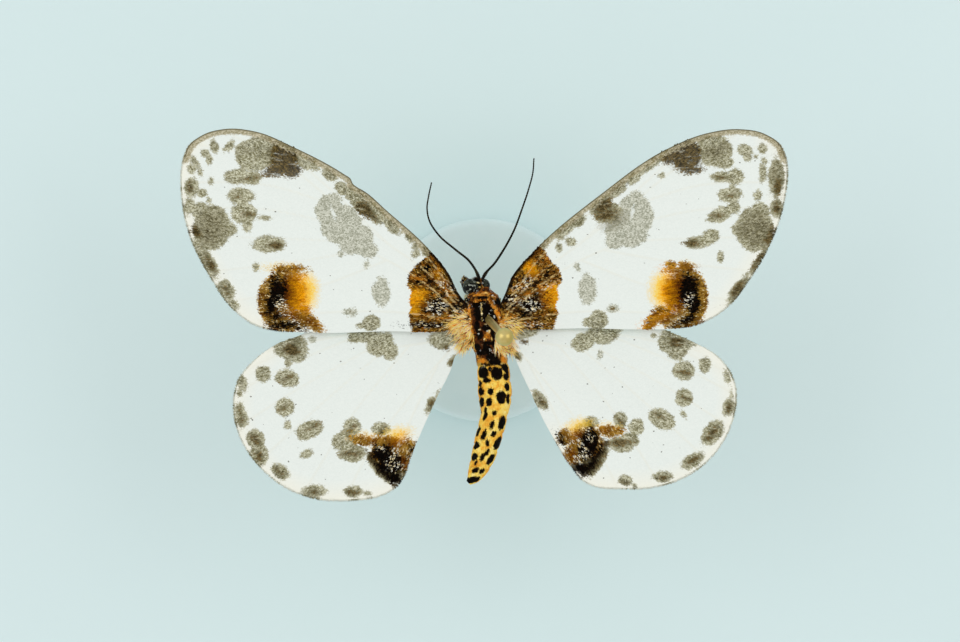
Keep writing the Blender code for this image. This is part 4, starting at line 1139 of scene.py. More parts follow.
def make_wing(name, sizes):
    """One wing as a thin closed lens ruled between its two edges.

    The plan place at (u, v) is (1 - v) lead(u) + v trail(u), with v spaced by a cosine so
    that it is finest at the edges. Upper and under side leave that plan by half the
    thickness, which falls to a sharp edge by the fourth root of 4 v (1 - v).
    """
    _, side, _, lead, trail = wing_parts(name)
    v = (1 - np.cos(np.linspace(0, math.pi, CHORD_STEPS))) / 2
    plan = (lead[:, None] * (1 - v[None, :, None]) + trail[:, None] * v[None, :, None])[:-1]
    shape = plan.shape[:2]
    flat = plan.reshape(-1, 2)
    fields = wing_fields(name, flat)
    upper = wing_place(name, flat, fields["vein_distance"], 1, sizes)
    under = wing_place(name, flat, fields["vein_distance"], -1, sizes)
    u = np.linspace(0, 1, SPAN_STEPS)[:-1]
    taper = ((4 * v * (1 - v))[None] ** 0.25 * (1 - u[:, None] ** 16) ** 0.5).reshape(-1, 1)
    middle = (upper + under) / 2
    upper = (middle + (upper - middle) * taper).reshape(*shape, 3)
    under = (middle + (under - middle) * taper).reshape(*shape, 3)
    rings = np.concatenate([upper, under[:, -2:0:-1]], axis=1)
    points, quads, fans = loft(rings, flip=side < 0)
    ring_plan = np.concatenate([plan, plan[:, -2:0:-1]], axis=1)
    points[-1] = (side * lead[-1, 0], lead[-1, 1], middle.reshape(*shape, 3)[-1, 0, 2])
    ends = np.vstack([ring_plan[0].mean(0), lead[-1]])
    fields = wing_fields(name, np.vstack([ring_plan.reshape(-1, 2), ends]))
    mesh = make_mesh(name + "_sheet", points, quads, fans)
    add_fields(mesh, fields, points)
    add_piece(name + "_sheet", mesh, "wing_membrane", [name])


# How many steps the outer margin is read in, and how the fringe shortens towards its ends
FRINGE_STEPS = 900
FRINGE_ENDS = ([0, 60, 780, 899], [0.5, 1, 1, 0.45])


def fringe_tufts(name, sizes, rng):
    """Hair scales along the outer margin: roots spread over its length, lying outwards.

    Outwards is the margin's own way turned by a right angle, then by a small chance angle.
    """
    _, side, _, _, _ = wing_parts(name)
    line = even_line(margin_line(name), FRINGE_STEPS)
    count = sizes.fringe_count
    at = rng.uniform(0, len(line) - 1, count)
    plan = read_rows(line, at)
    way = unit(np.gradient(line, axis=0))
    outward = read_rows(np.stack([way[:, 1], -way[:, 0]], axis=1), at)
    inner = plan - 0.1 * unit(outward)
    fields = wing_fields(name, plan - 0.16 * unit(outward))
    roots = wing_place(name, inner, fields["vein_distance"] + 9, 1, sizes)
    roots[:, 2] -= 0.5 * sizes.membrane / MM + rng.uniform(-0.02, 0.02, count)
    turn = rng.normal(0, 0.14, count)
    along = np.stack([
        side * (outward[:, 0] * np.cos(turn) - outward[:, 1] * np.sin(turn)),
        outward[:, 0] * np.sin(turn) + outward[:, 1] * np.cos(turn), np.zeros(count),
    ], axis=1)
    return {
        "root": roots, "along": along, "up": upward(count), "fields": fields,
        "length": sizes.fringe / MM * rng.uniform(0.6, 1.15, count) * np.interp(at, *FRINGE_ENDS),
        "width": rng.uniform(0.012, 0.026, count),
        "lift": rng.normal(0, 0.08, count), "curl": rng.normal(0, 0.08, count), "flatness": 0.4,
        "tone": rng.uniform(0.35, 1, count), "map": wing_map(plan, 1),
    }


def upward(count, face=1):
    """The same way for each of so many tufts: straight up, or down with face -1."""
    return np.tile([0.0, 0.0, float(face)], (count, 1))


def wing_map(plan, face):
    """A wing's unwrap: its plan, the upper side on the left half of the map."""
    half = 0.01 if face > 0 else 0.51
    return np.stack([half + 0.47 * plan[:, 0] / 21, (plan[:, 1] + 13) / 27], axis=1)


# The plan's corners (out, fore) that scales are tried between
RAISED_WITHIN = {"forewing": ((1.4, -1.0), (19.8, 12.6)), "hindwing": ((1.6, -11.6), (16.6, 0.6))}


def raised_tufts(name, sizes, rng, face):
    """Scales that stand up on the patches, rooted at random where a patch is deep enough."""
    kind, side, _, _, _ = wing_parts(name)
    tried = rng.uniform(*RAISED_WITHIN[kind], (sizes.raised_count * 5, 2))
    fields = wing_fields(name, tried)
    patch = np.max([fields[key] for key in ("ochre", "orange", "black", "basal")], axis=0)
    dim = np.max([fields[key] for key in ("umber", "grey")], axis=0)
    inside = inside_wing(name, tried)
    keep = inside & ((patch > 0.09) | ((dim > 0.08) & (rng.random(len(tried)) < 0.4)))
    keep &= np.cumsum(keep) <= sizes.raised_count * (1.0 if face > 0 else 0.45)
    plan = tried[keep]
    count = len(plan)
    fields = {key: values[keep] for key, values in fields.items()}
    roots = wing_place(name, plan, fields["vein_distance"], face, sizes)
    turn = np.arctan2(plan[:, 1] - 0.5, plan[:, 0]) + rng.normal(0, 0.16, count)
    along = np.stack([side * np.cos(turn), np.sin(turn), np.zeros(count)], axis=1)
    patchy = np.clip(patch[keep] * 3, 0.3, 1)
    return {
        "root": roots, "along": along, "up": upward(count, face), "fields": fields, "flatness": 0.16,
        "length": sizes.raised_scale / MM * rng.uniform(0.6, 1.2, count),
        "width": rng.uniform(0.03, 0.05, count), "lift": patchy * rng.uniform(0.05, 0.4, count),
        "curl": rng.uniform(-0.25, 0.05, count), "tone": rng.uniform(0.15, 1, count),
        "map": wing_map(plan, face),
    }


def inside_wing(name, plan):
    """True where a plan place is on the wing: the outline crosses a line from it oddly often."""
    _, _, _, lead, trail = wing_parts(name)
    outline = np.vstack([lead[::3], trail[::-3]])
    ends = np.roll(outline, -1, axis=0)
    crossings = np.zeros(len(plan), int)
    for start, stop in zip(outline, ends):
        spans = (start[1] > plan[:, 1]) != (stop[1] > plan[:, 1])
        at = start[0] + (plan[:, 1] - start[1]) * (stop[0] - start[0]) / (stop[1] - start[1] + 1e-12)
        crossings += spans & (plan[:, 0] < at)
    return crossings % 2 == 1


def merge_tufts(groups):
    """One dictionary of tufts from several with the same flatness."""
    merged = {"flatness": groups[0]["flatness"]}
    for key in ("root", "along", "up", "length", "width", "lift", "curl", "tone", "map"):
        merged[key] = np.concatenate([group[key] for group in groups])
    keys = groups[0]["fields"]
    merged["fields"] = {key: np.concatenate([group["fields"][key] for group in groups]) for key in keys}
    return merged


BODY_ROWS, BODY_COLUMNS = 320, 120
# As shares: how a segment swells, how deep the dip at its edge is, and how much of it dips
SEGMENT_SWELL, DIP_DEPTH, DIP_REACH = 0.025, 0.055, 0.09


def body_lines():
    """The body's stations read at even steps: middle line, half width, half height, roll."""
    stations = np.array(BODY_STATIONS)
    fine = smooth_line(stations, BODY_ROWS)
    return fine[:, :3], fine[:, 3], fine[:, 4], np.radians(fine[:, 5])


def body_grid():
    """The skin's rings: middle + half width sin(a) across + half height cos(a) up, rolled.

    On the abdomen both halves swell by half a sine over each segment and shrink by a narrow
    dip at its edge. On the back the plates rise outwards by their own height, over a narrow
    slope. Angle a runs from the back over the moth's left side.
    """
    middle, width, height, roll = body_lines()
    share = (middle[:, 1] - ABDOMEN_FROM) / (ABDOMEN_TO - ABDOMEN_FROM)
    phase = (share * ABDOMEN_SEGMENTS) % 1.0
    on_abdomen = (share > 0.04) & (share < 0.97)
    dip = np.where(on_abdomen, np.exp(-((np.minimum(phase, 1 - phase) / DIP_REACH) ** 2)), 0.0)
    swell = 1 + SEGMENT_SWELL * np.sin(phase * math.pi) * (share > 0) - DIP_DEPTH * dip
    way = unit(np.gradient(middle, axis=0) * (1, 1, 0.4))
    side = unit(np.cross(way, (0.0, 0.0, 1.0)))
    over = np.cross(side, way)
    across = np.cos(roll)[:, None] * side + np.sin(roll)[:, None] * over
    upward = np.cos(roll)[:, None] * over - np.sin(roll)[:, None] * side
    angle = circle(BODY_COLUMNS)
    x = (width * swell)[:, None, None] * np.sin(angle)[None, :, None] * across[:, None]
    z = (height * swell)[:, None, None] * np.cos(angle)[None, :, None] * upward[:, None]
    above = (np.cos(angle) > 0)[None, :]
    grid = middle[:, None] + x + z
    rise = np.zeros(grid.shape[:2])
    for *oval, out in BODY_PLATES:
        depth = oval_field(grid[..., :2].reshape(-1, 2), [oval]).reshape(rise.shape)
        rise = np.maximum(rise, out * np.clip(depth / 0.12 + 0.3, 0, 1) ** 0.7 * above)
    return grid + rise[..., None] * unit(x + z), middle, width * swell, angle


def body_fields(points, rows, angles):
    """The body marks' depths at skin places, laid out flat as (arc from the back, along).

    A mark seen from above at x is moved to the arc width times arcsin(x / width), so it
    keeps its place in that view. The underside carries rows of spots of its own.
    """
    middle, width, _, roll = body_lines()
    at = np.arange(BODY_ROWS)
    half = np.interp(rows, at, width)
    centre = np.interp(rows, at, middle[:, 0])
    turned = (angles - np.interp(rows, at, roll) + math.pi) % (2 * math.pi) - math.pi
    flat = np.stack([-half * turned, points[:, 1]], axis=1)
    fields = {}
    for key, ovals in BODY_MARKS.items():
        laid = []
        for across, along, half_length, half_width, *turn in ovals:
            row = np.interp(-along, -middle[:, 1], at)
            reach = float(np.interp(row, at, width))
            share = np.clip((across - np.interp(row, at, middle[:, 0])) / reach, -0.98, 0.98)
            stretch = min(1 / math.sqrt(1 - share**2), 1.7)
            laid.append((reach * math.asin(share), along, half_length * stretch, half_width, *turn))
        fields[key] = oval_field(flat, laid)
    fields["dark"] = np.maximum(fields["dark"], oval_field(flat, BELLY_SPOTS))
    fields["abdomen_depth"] = YELLOW_FROM - points[:, 1]
    fields["body_side"] = np.abs(points[:, 0] - centre) / np.maximum(half, 0.05)
    return fields


def belly_spots():
    """Rows of small dark ovals round the abdomen's underside, two rows to a segment."""
    rng = np.random.default_rng(SEED + 1)
    spots = []
    for along in np.arange(-2.9, -9.9, -0.62):
        width = np.interp(-along, [2, 5, 7, 9, 10], [0.9, 1.0, 0.87, 0.75, 0.55])
        for turn in (-2.95, -2.45, -1.95, 1.95, 2.45, 2.95):
            place = turn + rng.normal(0, 0.1)
            across, back = place * width, along + rng.normal(0, 0.12)
            spots.append((across, back, rng.uniform(0.11, 0.22), rng.uniform(0.17, 0.3)))
    return spots


BELLY_SPOTS = belly_spots()


def make_body_skin():
    """The one skin of head, thorax and abdomen, with its marks in named fields."""
    grid, _, _, angle = body_grid()
    points, quads, fans = loft(grid)
    rows = np.repeat(np.arange(BODY_ROWS), BODY_COLUMNS)
    angles = np.tile(angle, BODY_ROWS)
    rows, angles = np.append(rows, [0, BODY_ROWS - 1]), np.append(angles, [0, 0])
    mesh = make_mesh("body_skin", points, quads, fans)
    add_fields(mesh, body_fields(points, rows.astype(float), angles), points)
    replaced = ["thorax", "abdomen", "head"]
    add_piece("body_skin", mesh, "body_skin", replaced)


def body_roots(count, first_y, last_y, rng):
    """Random places on the skin between two places along.

    Gives their points, normals, fields, map places and the way back along the skin. A place
    is a mean of its grid face's four corners, weighted by how near each one is.
    """
    grid, middle, width, _ = body_grid()
    rows = np.arange(BODY_ROWS)
    first, last = np.interp([-first_y, -last_y], -middle[:, 1], rows)
    weight = np.interp(np.linspace(first, last, 400), rows, width) + 0.1
    total = np.concatenate([[0], np.cumsum(weight)])
    row = np.interp(rng.uniform(0, total[-1], count), total, np.linspace(first, last, 401))
    row = np.clip(row, 0, BODY_ROWS - 1.001)
    column = rng.uniform(0, BODY_COLUMNS, count)
    low, left = row.astype(int), column.astype(int)
    a, b = (row - low)[:, None], (column - left)[:, None]
    right = (left + 1) % BODY_COLUMNS
    left = left % BODY_COLUMNS
    across = grid[low, right] - grid[low, left]
    along = grid[low + 1, left] - grid[low, left]
    points = (
        (1 - a) * (1 - b) * grid[low, left] + (1 - a) * b * grid[low, right]
        + a * (1 - b) * grid[low + 1, left] + a * b * grid[low + 1, right]
    )
    normal = unit(np.cross(along, across))
    outward = points - middle[low]
    normal *= np.sign((normal * outward).sum(1))[:, None]
    angles = column / BODY_COLUMNS * 2 * math.pi
    places = np.stack([0.01 + 0.98 * column / BODY_COLUMNS, 0.01 + 0.98 * row / BODY_ROWS], axis=1)
    return points, normal, body_fields(points, row, angles), places, unit(along)


def coat(count, first_y, last_y, length, width, lift, curl, sweep, flatness, rng):
    """Tufts on a stretch of the body, lying back along the skin and swept outwards."""
    points, normal, fields, places, back = body_roots(count, first_y, last_y, rng)
    outward = np.sign(points[:, 0] - 0.05)[:, None] * np.array([1.0, 0.0, 0.0])
    along = back + sweep * outward + rng.normal(0, 0.22, (count, 3))
    along -= (along * normal).sum(1)[:, None] * normal
    size = length * rng.uniform(0.6, 1.2, count)
    return {
        "root": points - 0.02 * normal - 0.45 * size[:, None] * unit(along), "along": along, "up": normal,
        "fields": fields, "map": places, "length": size, "width": width * rng.uniform(0.7, 1.3, count),
        "lift": rng.uniform(*lift, count), "curl": rng.uniform(*curl, count), "flatness": flatness,
        "tone": rng.uniform(0.25, 1, count),
    }


HEAD_PLACE = (-0.5, 2.22, BODY_LEVEL - 0.05)
HEAD_TURN = (math.radians(-3.0), math.radians(28.0))
# Each eye in the head's own axes: its side, the dome's middle and its half extents
EYES = {
    "eye_left": (-1, (0.48, -0.07, 0.05), (0.5, 0.56, 0.6)),
    "eye_right": (1, (0.48, 0.09, 0.02), (0.43, 0.47, 0.56)),
}


def head_axes():
    """The head's own axes as rows: turned about up, then rolled so that its left side is up."""
    yaw, roll = HEAD_TURN
    turned = np.array([[math.cos(yaw), math.sin(yaw), 0], [-math.sin(yaw), math.cos(yaw), 0], [0, 0, 1]])
    rolled = np.array([[math.cos(roll), 0, -math.sin(roll)], [0, 1, 0], [math.sin(roll), 0, math.cos(roll)]])
    return rolled @ turned


def from_head(points):
    """Points in the head's own axes as points of the moth."""
    return np.asarray(points, float) @ head_axes() + HEAD_PLACE


def to_head(points):
    """Points of the moth in the head's own axes."""
    return (points - HEAD_PLACE) @ head_axes().T


def clear_of_eyes(points):
    """True where a place on the head isn't under an eye's dome."""
    local = to_head(points)
    clear = np.ones(len(points), bool)
    for side, middle, half in EYES.values():
        clear &= np.linalg.norm((local * (side, 1, 1) - middle) / half, axis=1) > 1.02
    return clear


def keep_tufts(tufts, keep):
    """The tufts for which keep is true."""
    kept = {key: values[keep] for key, values in tufts.items() if key not in ("flatness", "fields")}
    kept["flatness"] = tufts["flatness"]
    kept["fields"] = {key: values[keep] for key, values in tufts["fields"].items()}
    return kept


EYE_ROWS, EYE_COLUMNS, EYE_RIM = 40, 72, math.radians(150)


def make_eye(name):
    """A dome bulging sideways: middle + (b cos p, c sin p cos q, d sin p sin q), p to past its rim."""
    side, middle, half = EYES[name]
    p = np.linspace(0.02, EYE_RIM, EYE_ROWS)[:, None]
    q = circle(EYE_COLUMNS)[None]
    dome = np.stack([np.cos(p) + 0 * q, np.sin(p) * np.cos(q), np.sin(p) * np.sin(q)], -1)
    rings = from_head(((middle + dome * half) * (side, 1, 1)).reshape(-1, 3)).reshape(dome.shape)
    add_shape(name + "_lens", loft(rings, flip=side > 0), "eye_lenses", name)


FEELER_STEPS, FEELER_JOINTS = 620, 62


def make_feeler(side_name, sizes):
    """A feeler: a tube that tapers along its line, swollen at the foot, with narrow rings.

    Its radius is r (1 - 0.5 t) (1 + 0.1 sin of the ring's phase), t being the share of the
    way to the tip, times up to 1.4 at the foot, and it closes over the last hundredth.
    """
    line = smooth_line(np.array(FEELER_LINES[side_name]) + (0, 0, BODY_LEVEL), FEELER_STEPS)
    t = np.linspace(0, 1, len(line))
    ring = 1 + 0.1 * np.sin(t * 2 * math.pi * FEELER_JOINTS)
    foot = 1 + 0.4 * np.exp(-((t - 0.035) / 0.03) ** 2)
    radius = sizes.feeler / MM * (1 - 0.5 * t) * ring * foot * np.minimum(1, (1.002 - t) / 0.01) ** 0.5
    shape = loft(tube_rings(line, radius, 10, (0, 0, 1)))
    add_shape("feeler_" + side_name, shape, "feeler_cuticle", "antenna_" + side_name)


ROUND_SHARE = 0.14


def spindle(start, stop, radii, steps, sides, reference):
    """A limb's segment: radii laid evenly along it, closed off round at both ends.

    Over the last part of either end the radius falls by the root of 1 - e^2, e being the
    share of that part that is passed.
    """
    path = np.linspace(start, stop, steps)
    t = np.linspace(0, 1, steps)
    radius = np.interp(t, np.linspace(0, 1, len(radii)), radii)
    passed = np.maximum(np.abs(2 * t - 1) - (1 - ROUND_SHARE), 0) / ROUND_SHARE
    round_end = np.sqrt(np.clip(1 - passed**2, 0.02, 1))
    return loft(tube_rings(path, radius * round_end, sides, reference))


def leg_points(which, side):
    """A leg's hip, knee, shin end and foot end, mirrored to its side and set by the body."""
    knots = np.array(LEG_LINES[which])
    return knots * (side, 1, 1) + (LEG_SHIFT[which], 0, BODY_LEVEL)


THIGH, SHIN, FOOT = (0.13, 0.2, 0.2, 0.12), (0.1, 0.12, 0.13, 0.14), (0.075, 0.095, 0.07)


def leg_segments(which, side):
    """The leg's segments as (start, end, radii): hip, thigh, shin and five foot segments."""
    hip, knee, ankle, toe = leg_points(which, side)
    foot = [ankle + (toe - ankle) * share for share in (0, 0.38, 0.56, 0.72, 0.86, 1.0)]
    segments = [
        (hip + (-0.25 * side, 0.1, 0.35), hip + (0, 0, -0.05), (0.26, 0.24, 0.16)),
        (hip, knee, THIGH), (knee, ankle, SHIN),
    ]
    segments += [(start, stop, FOOT) for start, stop in zip(foot[:-1], foot[1:])]
    return segments


def make_leg(which, side):
    """One leg: spindles end to end, spurs on the shin and two claws, as one mesh."""
    name = f"leg_{which}_{'left' if side < 0 else 'right'}"
    reference = (1.0, 0.2, 0.1)
    shapes = [spindle(*segment, 26, 14, reference) for segment in leg_segments(which, side)]
    _, knee, ankle, toe = leg_points(which, side)
    way = unit(ankle - knee)
    spur_roots = {"front": [0.6], "middle": [0.97], "hind": [0.62, 0.97]}[which]
    for share in spur_roots:
        root = knee + (ankle - knee) * share
        for lean in (-0.32, 0.32):
            tip = root + way * 0.42 + np.array([lean * 0.5, 0, -0.14])
            shapes.append(spindle(root, tip, (0.05, 0.045, 0.02), 10, 8, reference))
    for lean in (-0.07, 0.07):
        tip = toe + unit(toe - ankle) * 0.13 + np.array([lean, 0, -0.07])
        shapes.append(spindle(toe, tip, (0.035, 0.03, 0.01), 8, 8, reference))
    add_shape(name + "_limb", join_shapes(shapes), "leg_cuticle", name)


def limb_tufts(rng):
    """Small scales and hairs on legs and palps, all leaning towards the limb's end."""
    parts = []
    for side in (-1, 1):
        segments = [segment for which in LEG_LINES for segment in leg_segments(which, side)]
        counts = (60, 260, 260, 46, 26, 22, 20, 18) * len(LEG_LINES)
        palp = palp_line(side)[[0, 20, 40, 57]]
        segments += [(start, stop, (0.12, 0.12)) for start, stop in zip(palp[:-1], palp[1:])]
        for (start, stop, radii), count in zip(segments, (*counts, 110, 130, 130)):
            share = rng.uniform(0.03, 0.95, count)
            turn = rng.uniform(0, 2 * math.pi, count)
            way = unit(stop - start)
            across = unit(np.cross((1.0, 0.2, 0.1), way))
            outward = np.cos(turn)[:, None] * across + np.sin(turn)[:, None] * np.cross(way, across)
            radius = np.interp(share, np.linspace(0, 1, len(radii)), radii)
            root = start + share[:, None] * (stop - start) + 0.9 * radius[:, None] * outward
            parts.append((root, np.tile(way, (count, 1)), outward, turn, radius))
    root, along, up, turn, radius = (np.concatenate(column) for column in zip(*parts))
    count = len(root)
    fields = {key: np.full(count, OUTSIDE) for key in ("orange", "abdomen_depth")}
    fields["body_side"] = np.zeros(count)
    fields["dark"] = np.where(rng.random(count) < 0.6, 0.3, OUTSIDE)
    fields["cream"] = np.where(rng.random(count) < 0.16, 0.3, OUTSIDE)
    return {
        "root": root, "along": along, "up": up, "fields": fields, "flatness": 0.3,
        "length": radius + rng.uniform(0.06, 0.14, count), "width": rng.uniform(0.02, 0.035, count),
        "lift": rng.uniform(0.1, 0.45, count), "curl": rng.uniform(-0.1, 0.1, count),
        "tone": rng.uniform(0, 0.9, count),
        "map": 0.02 + 0.96 * np.stack([turn / (2 * math.pi), np.arange(count) / count], axis=1),
    }


# A palp's middle line in the head's own axes, for the right side
PALP_KNOTS = [
    (0.24, -0.08, -0.6), (0.42, -0.04, -0.86), (0.5, 0.16, -0.98), (0.5, 0.36, -0.98), (0.45, 0.5, -0.9),
]


def palp_line(side):
    """A palp's smooth middle line on its side of the head."""
    return smooth_line(from_head(np.array(PALP_KNOTS) * (side, 1, 1)), 60)


COIL_STEPS, TONGUE_STEPS = 220, 240


def make_mouth_parts():
    """The two palps, which run forward under the eyes, and the coiled tongue between them.

    A palp is a tube on a curve through five places. The tongue runs down from the mouth into
    the spiral (0, c + r cos w, -d - r sin w), its radius r shrinking evenly as w turns.
    """
    for side_name, side in SIDES.items():
        line = palp_line(side)
        t = np.linspace(0, 1, len(line))
        radius = 0.14 * np.sin(math.pi * np.clip(0.25 + 0.72 * t, 0, 0.98)) ** 0.7
        name = "palp_" + side_name
        shape = loft(tube_rings(line, radius, 14, (1, 0.1, 0)))
        add_shape(name + "_limb", shape, "leg_cuticle", name)
    w = np.linspace(-0.5, 2.9, COIL_STEPS) * math.pi
    reach = np.linspace(0.36, 0.11, COIL_STEPS)
    coil = np.stack([0 * w, 0.15 + reach * np.cos(w), -1.36 - reach * np.sin(w)], axis=1)
    coil = even_line(np.vstack([[(0.0, 0.02, -0.55), (0.0, 0.08, -0.8)], coil]), TONGUE_STEPS)
    radius = np.linspace(0.075, 0.045, TONGUE_STEPS) * (1 + 0.05 * np.sin(np.arange(TONGUE_STEPS) * 1.4))
    shape = loft(tube_rings(from_head(coil), radius, 12, head_axes()[0]))
    add_shape("tongue", shape, "leg_cuticle", "proboscis")


# Hair about the wing hinges in plan: side, middle (out, along), half extents, how many
HINGE_HAIR = [
    ("left", (1.15, -0.2), (0.45, 0.65), 130), ("left", (1.15, -1.1), (0.5, 0.7), 190),
    ("left", (1.7, -0.25), (0.45, 0.35), 40), ("right", (1.45, -0.25), (0.6, 0.4), 120),
    ("right", (1.2, -0.8), (0.45, 0.4), 90), ("right", (1.3, -1.5), (0.6, 0.5), 130),
]
# Its kinds: lengths from and to, half widths from and to, spread, how many times the count
HINGE_KINDS = [
    (0.2, 0.42, 0.022, 0.04, 0.75, 4.5), (0.4, 0.85, 0.018, 0.03, 0.45, 2.2),
    (0.6, 1.0, 0.01, 0.018, 0.35, 1.2),
]


def hinge_roots(side_name, middle, half, count, sizes, rng):
    """Chance places in an oval in plan, each raised to the body's or a wing's upper side there."""
    side = SIDES[side_name]
    turn, reach = rng.uniform(0, 2 * math.pi, count), np.sqrt(rng.uniform(0, 1, count))
    out, fore = middle[0] + half[0] * reach * np.cos(turn), middle[1] + half[1] * reach * np.sin(turn)
    plan = np.stack([out, fore], axis=1)
    line, width, tall, _ = body_lines()
    at = np.interp(-fore, -line[:, 1], np.arange(BODY_ROWS))
    centre_x, centre_z, width, tall = (
        np.interp(at, np.arange(BODY_ROWS), column) for column in (line[:, 0], line[:, 2], width, tall)
    )
    share = (side * out - centre_x) / width
    height = np.where(np.abs(share) < 0.97, centre_z + tall * np.sqrt(np.clip(1 - share**2, 0, 1)), 0.0)
    for kind in ("hindwing_", "forewing_"):
        name = kind + side_name
        top = wing_place(name, plan, np.full(count, 9.0), 1, sizes)[:, 2]
        height = np.where(inside_wing(name, plan), np.maximum(height, top), height)
    on_moth = height > BODY_LEVEL - 0.2
    return np.stack([side * out, fore, height], axis=1)[on_moth]


def hinge_fields(root, rng):
    """Clumps of cream, gold and brown: a sum of slow waves over the place, with a jitter."""
    x, y = root[:, 0], root[:, 1]
    pick = 0.58 + 0.25 * np.sin(11.3 * x + 5.1 * y) + 0.25 * np.sin(13.7 * y - 7.9 * x + 1.9)
    pick = pick + rng.normal(0, 0.07, len(root))
    return {
        "orange": np.where(pick < 0.46, 0.5, OUTSIDE), "dark": np.where(pick < 0.24, 0.5, OUTSIDE),
        "cream": np.where(pick > 0.42, 0.5, OUTSIDE), "abdomen_depth": np.full(len(root), OUTSIDE),
        "body_side": np.zeros(len(root)),
    }


def wing_base_hair(sizes, rng):
    """Clumped hair about the hinges: short broad tufts, longer ones, and long thin ones.

    Each lies outwards from the thorax's middle, the further back the more it turns back,
    with a chance angle of its own.
    """
    groups = []
    for least, most, thin, thick, spread, times in HINGE_KINDS:
        for side_name, middle, half, number in HINGE_HAIR:
            root = hinge_roots(side_name, middle, half, int(number * times), sizes, rng)
            count, side = len(root), SIDES[side_name]
            turn = np.interp(root[:, 1], [-2.0, 0.8], [-1.25, 0.0]) + rng.normal(0, spread, count)
            length = rng.uniform(least, most, count) * sizes.base_hair / MM
            groups.append({
                "root": root + (0, 0, 0.02), "length": length, "flatness": 0.12,
                "width": rng.uniform(thin, thick, count),
                "along": np.stack([side * np.cos(turn), np.sin(turn), rng.normal(0.06, 0.1, count)], axis=1),
                "up": upward(count), "fields": hinge_fields(root, rng),
                "lift": rng.uniform(0.0, 0.2, count), "curl": rng.uniform(-0.15, 0.0, count),
                "tone": rng.uniform(0.6, 1, count), "map": 0.5 + root[:, :2] / 6,
            })
    return merge_tufts(groups)


def turned(profile, segments):
    """A turned shape: each (radius, height) of the profile swept round an upright line."""
    angle = circle(segments)
    radius, height = np.array(profile).T
    x, y = radius[:, None] * np.cos(angle), radius[:, None] * np.sin(angle)
    return loft(np.stack([x, y, height[:, None] + 0 * x], axis=-1))


def pin_at(height):
    """The place where the pin's middle line reaches a height."""
    across, along = np.array(PIN_CROSSES_BACK_AT) + np.array(PIN_LEAN) * (height - BACK_LEVEL)
    return np.array([across, along, height])


# The levels of the pin's two ends, and how long its point is
PIN_FOOT, PIN_TOP = 1.5, 31.65
PIN_POINT = 1.6


def make_pin(sizes):
    """The pin: a point, an even shaft and a ball, its radius given along its own line.

    On the ball the radius is the root of R^2 - (t - c)^2, t being the way along the pin
    and c the ball's middle.
    """
    foot, top = pin_at(PIN_FOOT), pin_at(PIN_TOP)
    length = float(np.linalg.norm(top - foot))
    ball, shaft = sizes.pin_ball / MM, sizes.pin / MM
    middle = length - ball
    on_ball = middle + ball * np.sin(np.linspace(-math.pi / 2 * 0.98, math.pi / 2 * 0.995, 48))
    on_shaft = np.linspace(PIN_POINT + 0.5, middle - ball, 60)
    run = np.concatenate([[0.0], np.linspace(0.1, PIN_POINT, 10), on_shaft, on_ball])
    ball_radius = np.sqrt(np.maximum(ball**2 - (run - middle) ** 2, 0))
    shaft_radius = np.where(run < middle, shaft * np.clip(run / PIN_POINT, 0.08, 1), 0.0)
    path = foot + np.outer(run / length, top - foot)
    shape = loft(tube_rings(path, np.maximum(ball_radius, shaft_radius), 40, (0, 1, 0)))
    add_shape("pin", shape, "pin_brass", "stand_pin")


def make_base(sizes):
    """The stand: a turned disc with rounded rims that the pin goes into."""
    reach, height, edge = sizes.base / MM, BASE_TOP, 0.6
    turn = np.linspace(-math.pi / 2, 0, 9)
    low = [(reach - edge + edge * math.cos(a), edge + edge * math.sin(a)) for a in turn]
    high = [(radius, height - level) for radius, level in reversed(low)]
    shape = turned([(0.01, 0), *low, *high, (reach * 0.5, height), (0.01, height)], 160)
    add_shape("base", shape, "disc_paint", "stand_base")


class MOTH_OT_wings(bpy.types.Operator):
    """Makes the four wings, each a thin closed sheet with veins and its own markings"""

    bl_idname = "moth.wings"
    bl_label = "Wings"

    def execute(self, context):
        for name in WING_PLANS:
            make_wing(name, context.scene.moth_sizes)
        return {"FINISHED"}


class MOTH_OT_wing_scales(bpy.types.Operator):
    """Adds the fringe along the wings' margins and the scales that stand up on the patches"""

    bl_idname = "moth.wing_scales"
    bl_label = "Wing scales"

    def execute(self, context):
        sizes = context.scene.moth_sizes
        for number, name in enumerate(WING_PLANS):
            rng = np.random.default_rng(SEED + 10 + number)
            add_tufts(name + "_fringe", fringe_tufts(name, sizes, rng), "wing_tufts")
            raised = merge_tufts([raised_tufts(name, sizes, rng, face) for face in (1, -1)])
            add_tufts(name + "_scales", raised, "wing_tufts")
        return {"FINISHED"}


class MOTH_OT_body(bpy.types.Operator):
    """Makes the one skin of head, thorax and abdomen"""

    bl_idname = "moth.body"
    bl_label = "Body"

    def execute(self, context):
        make_body_skin()
        return {"FINISHED"}


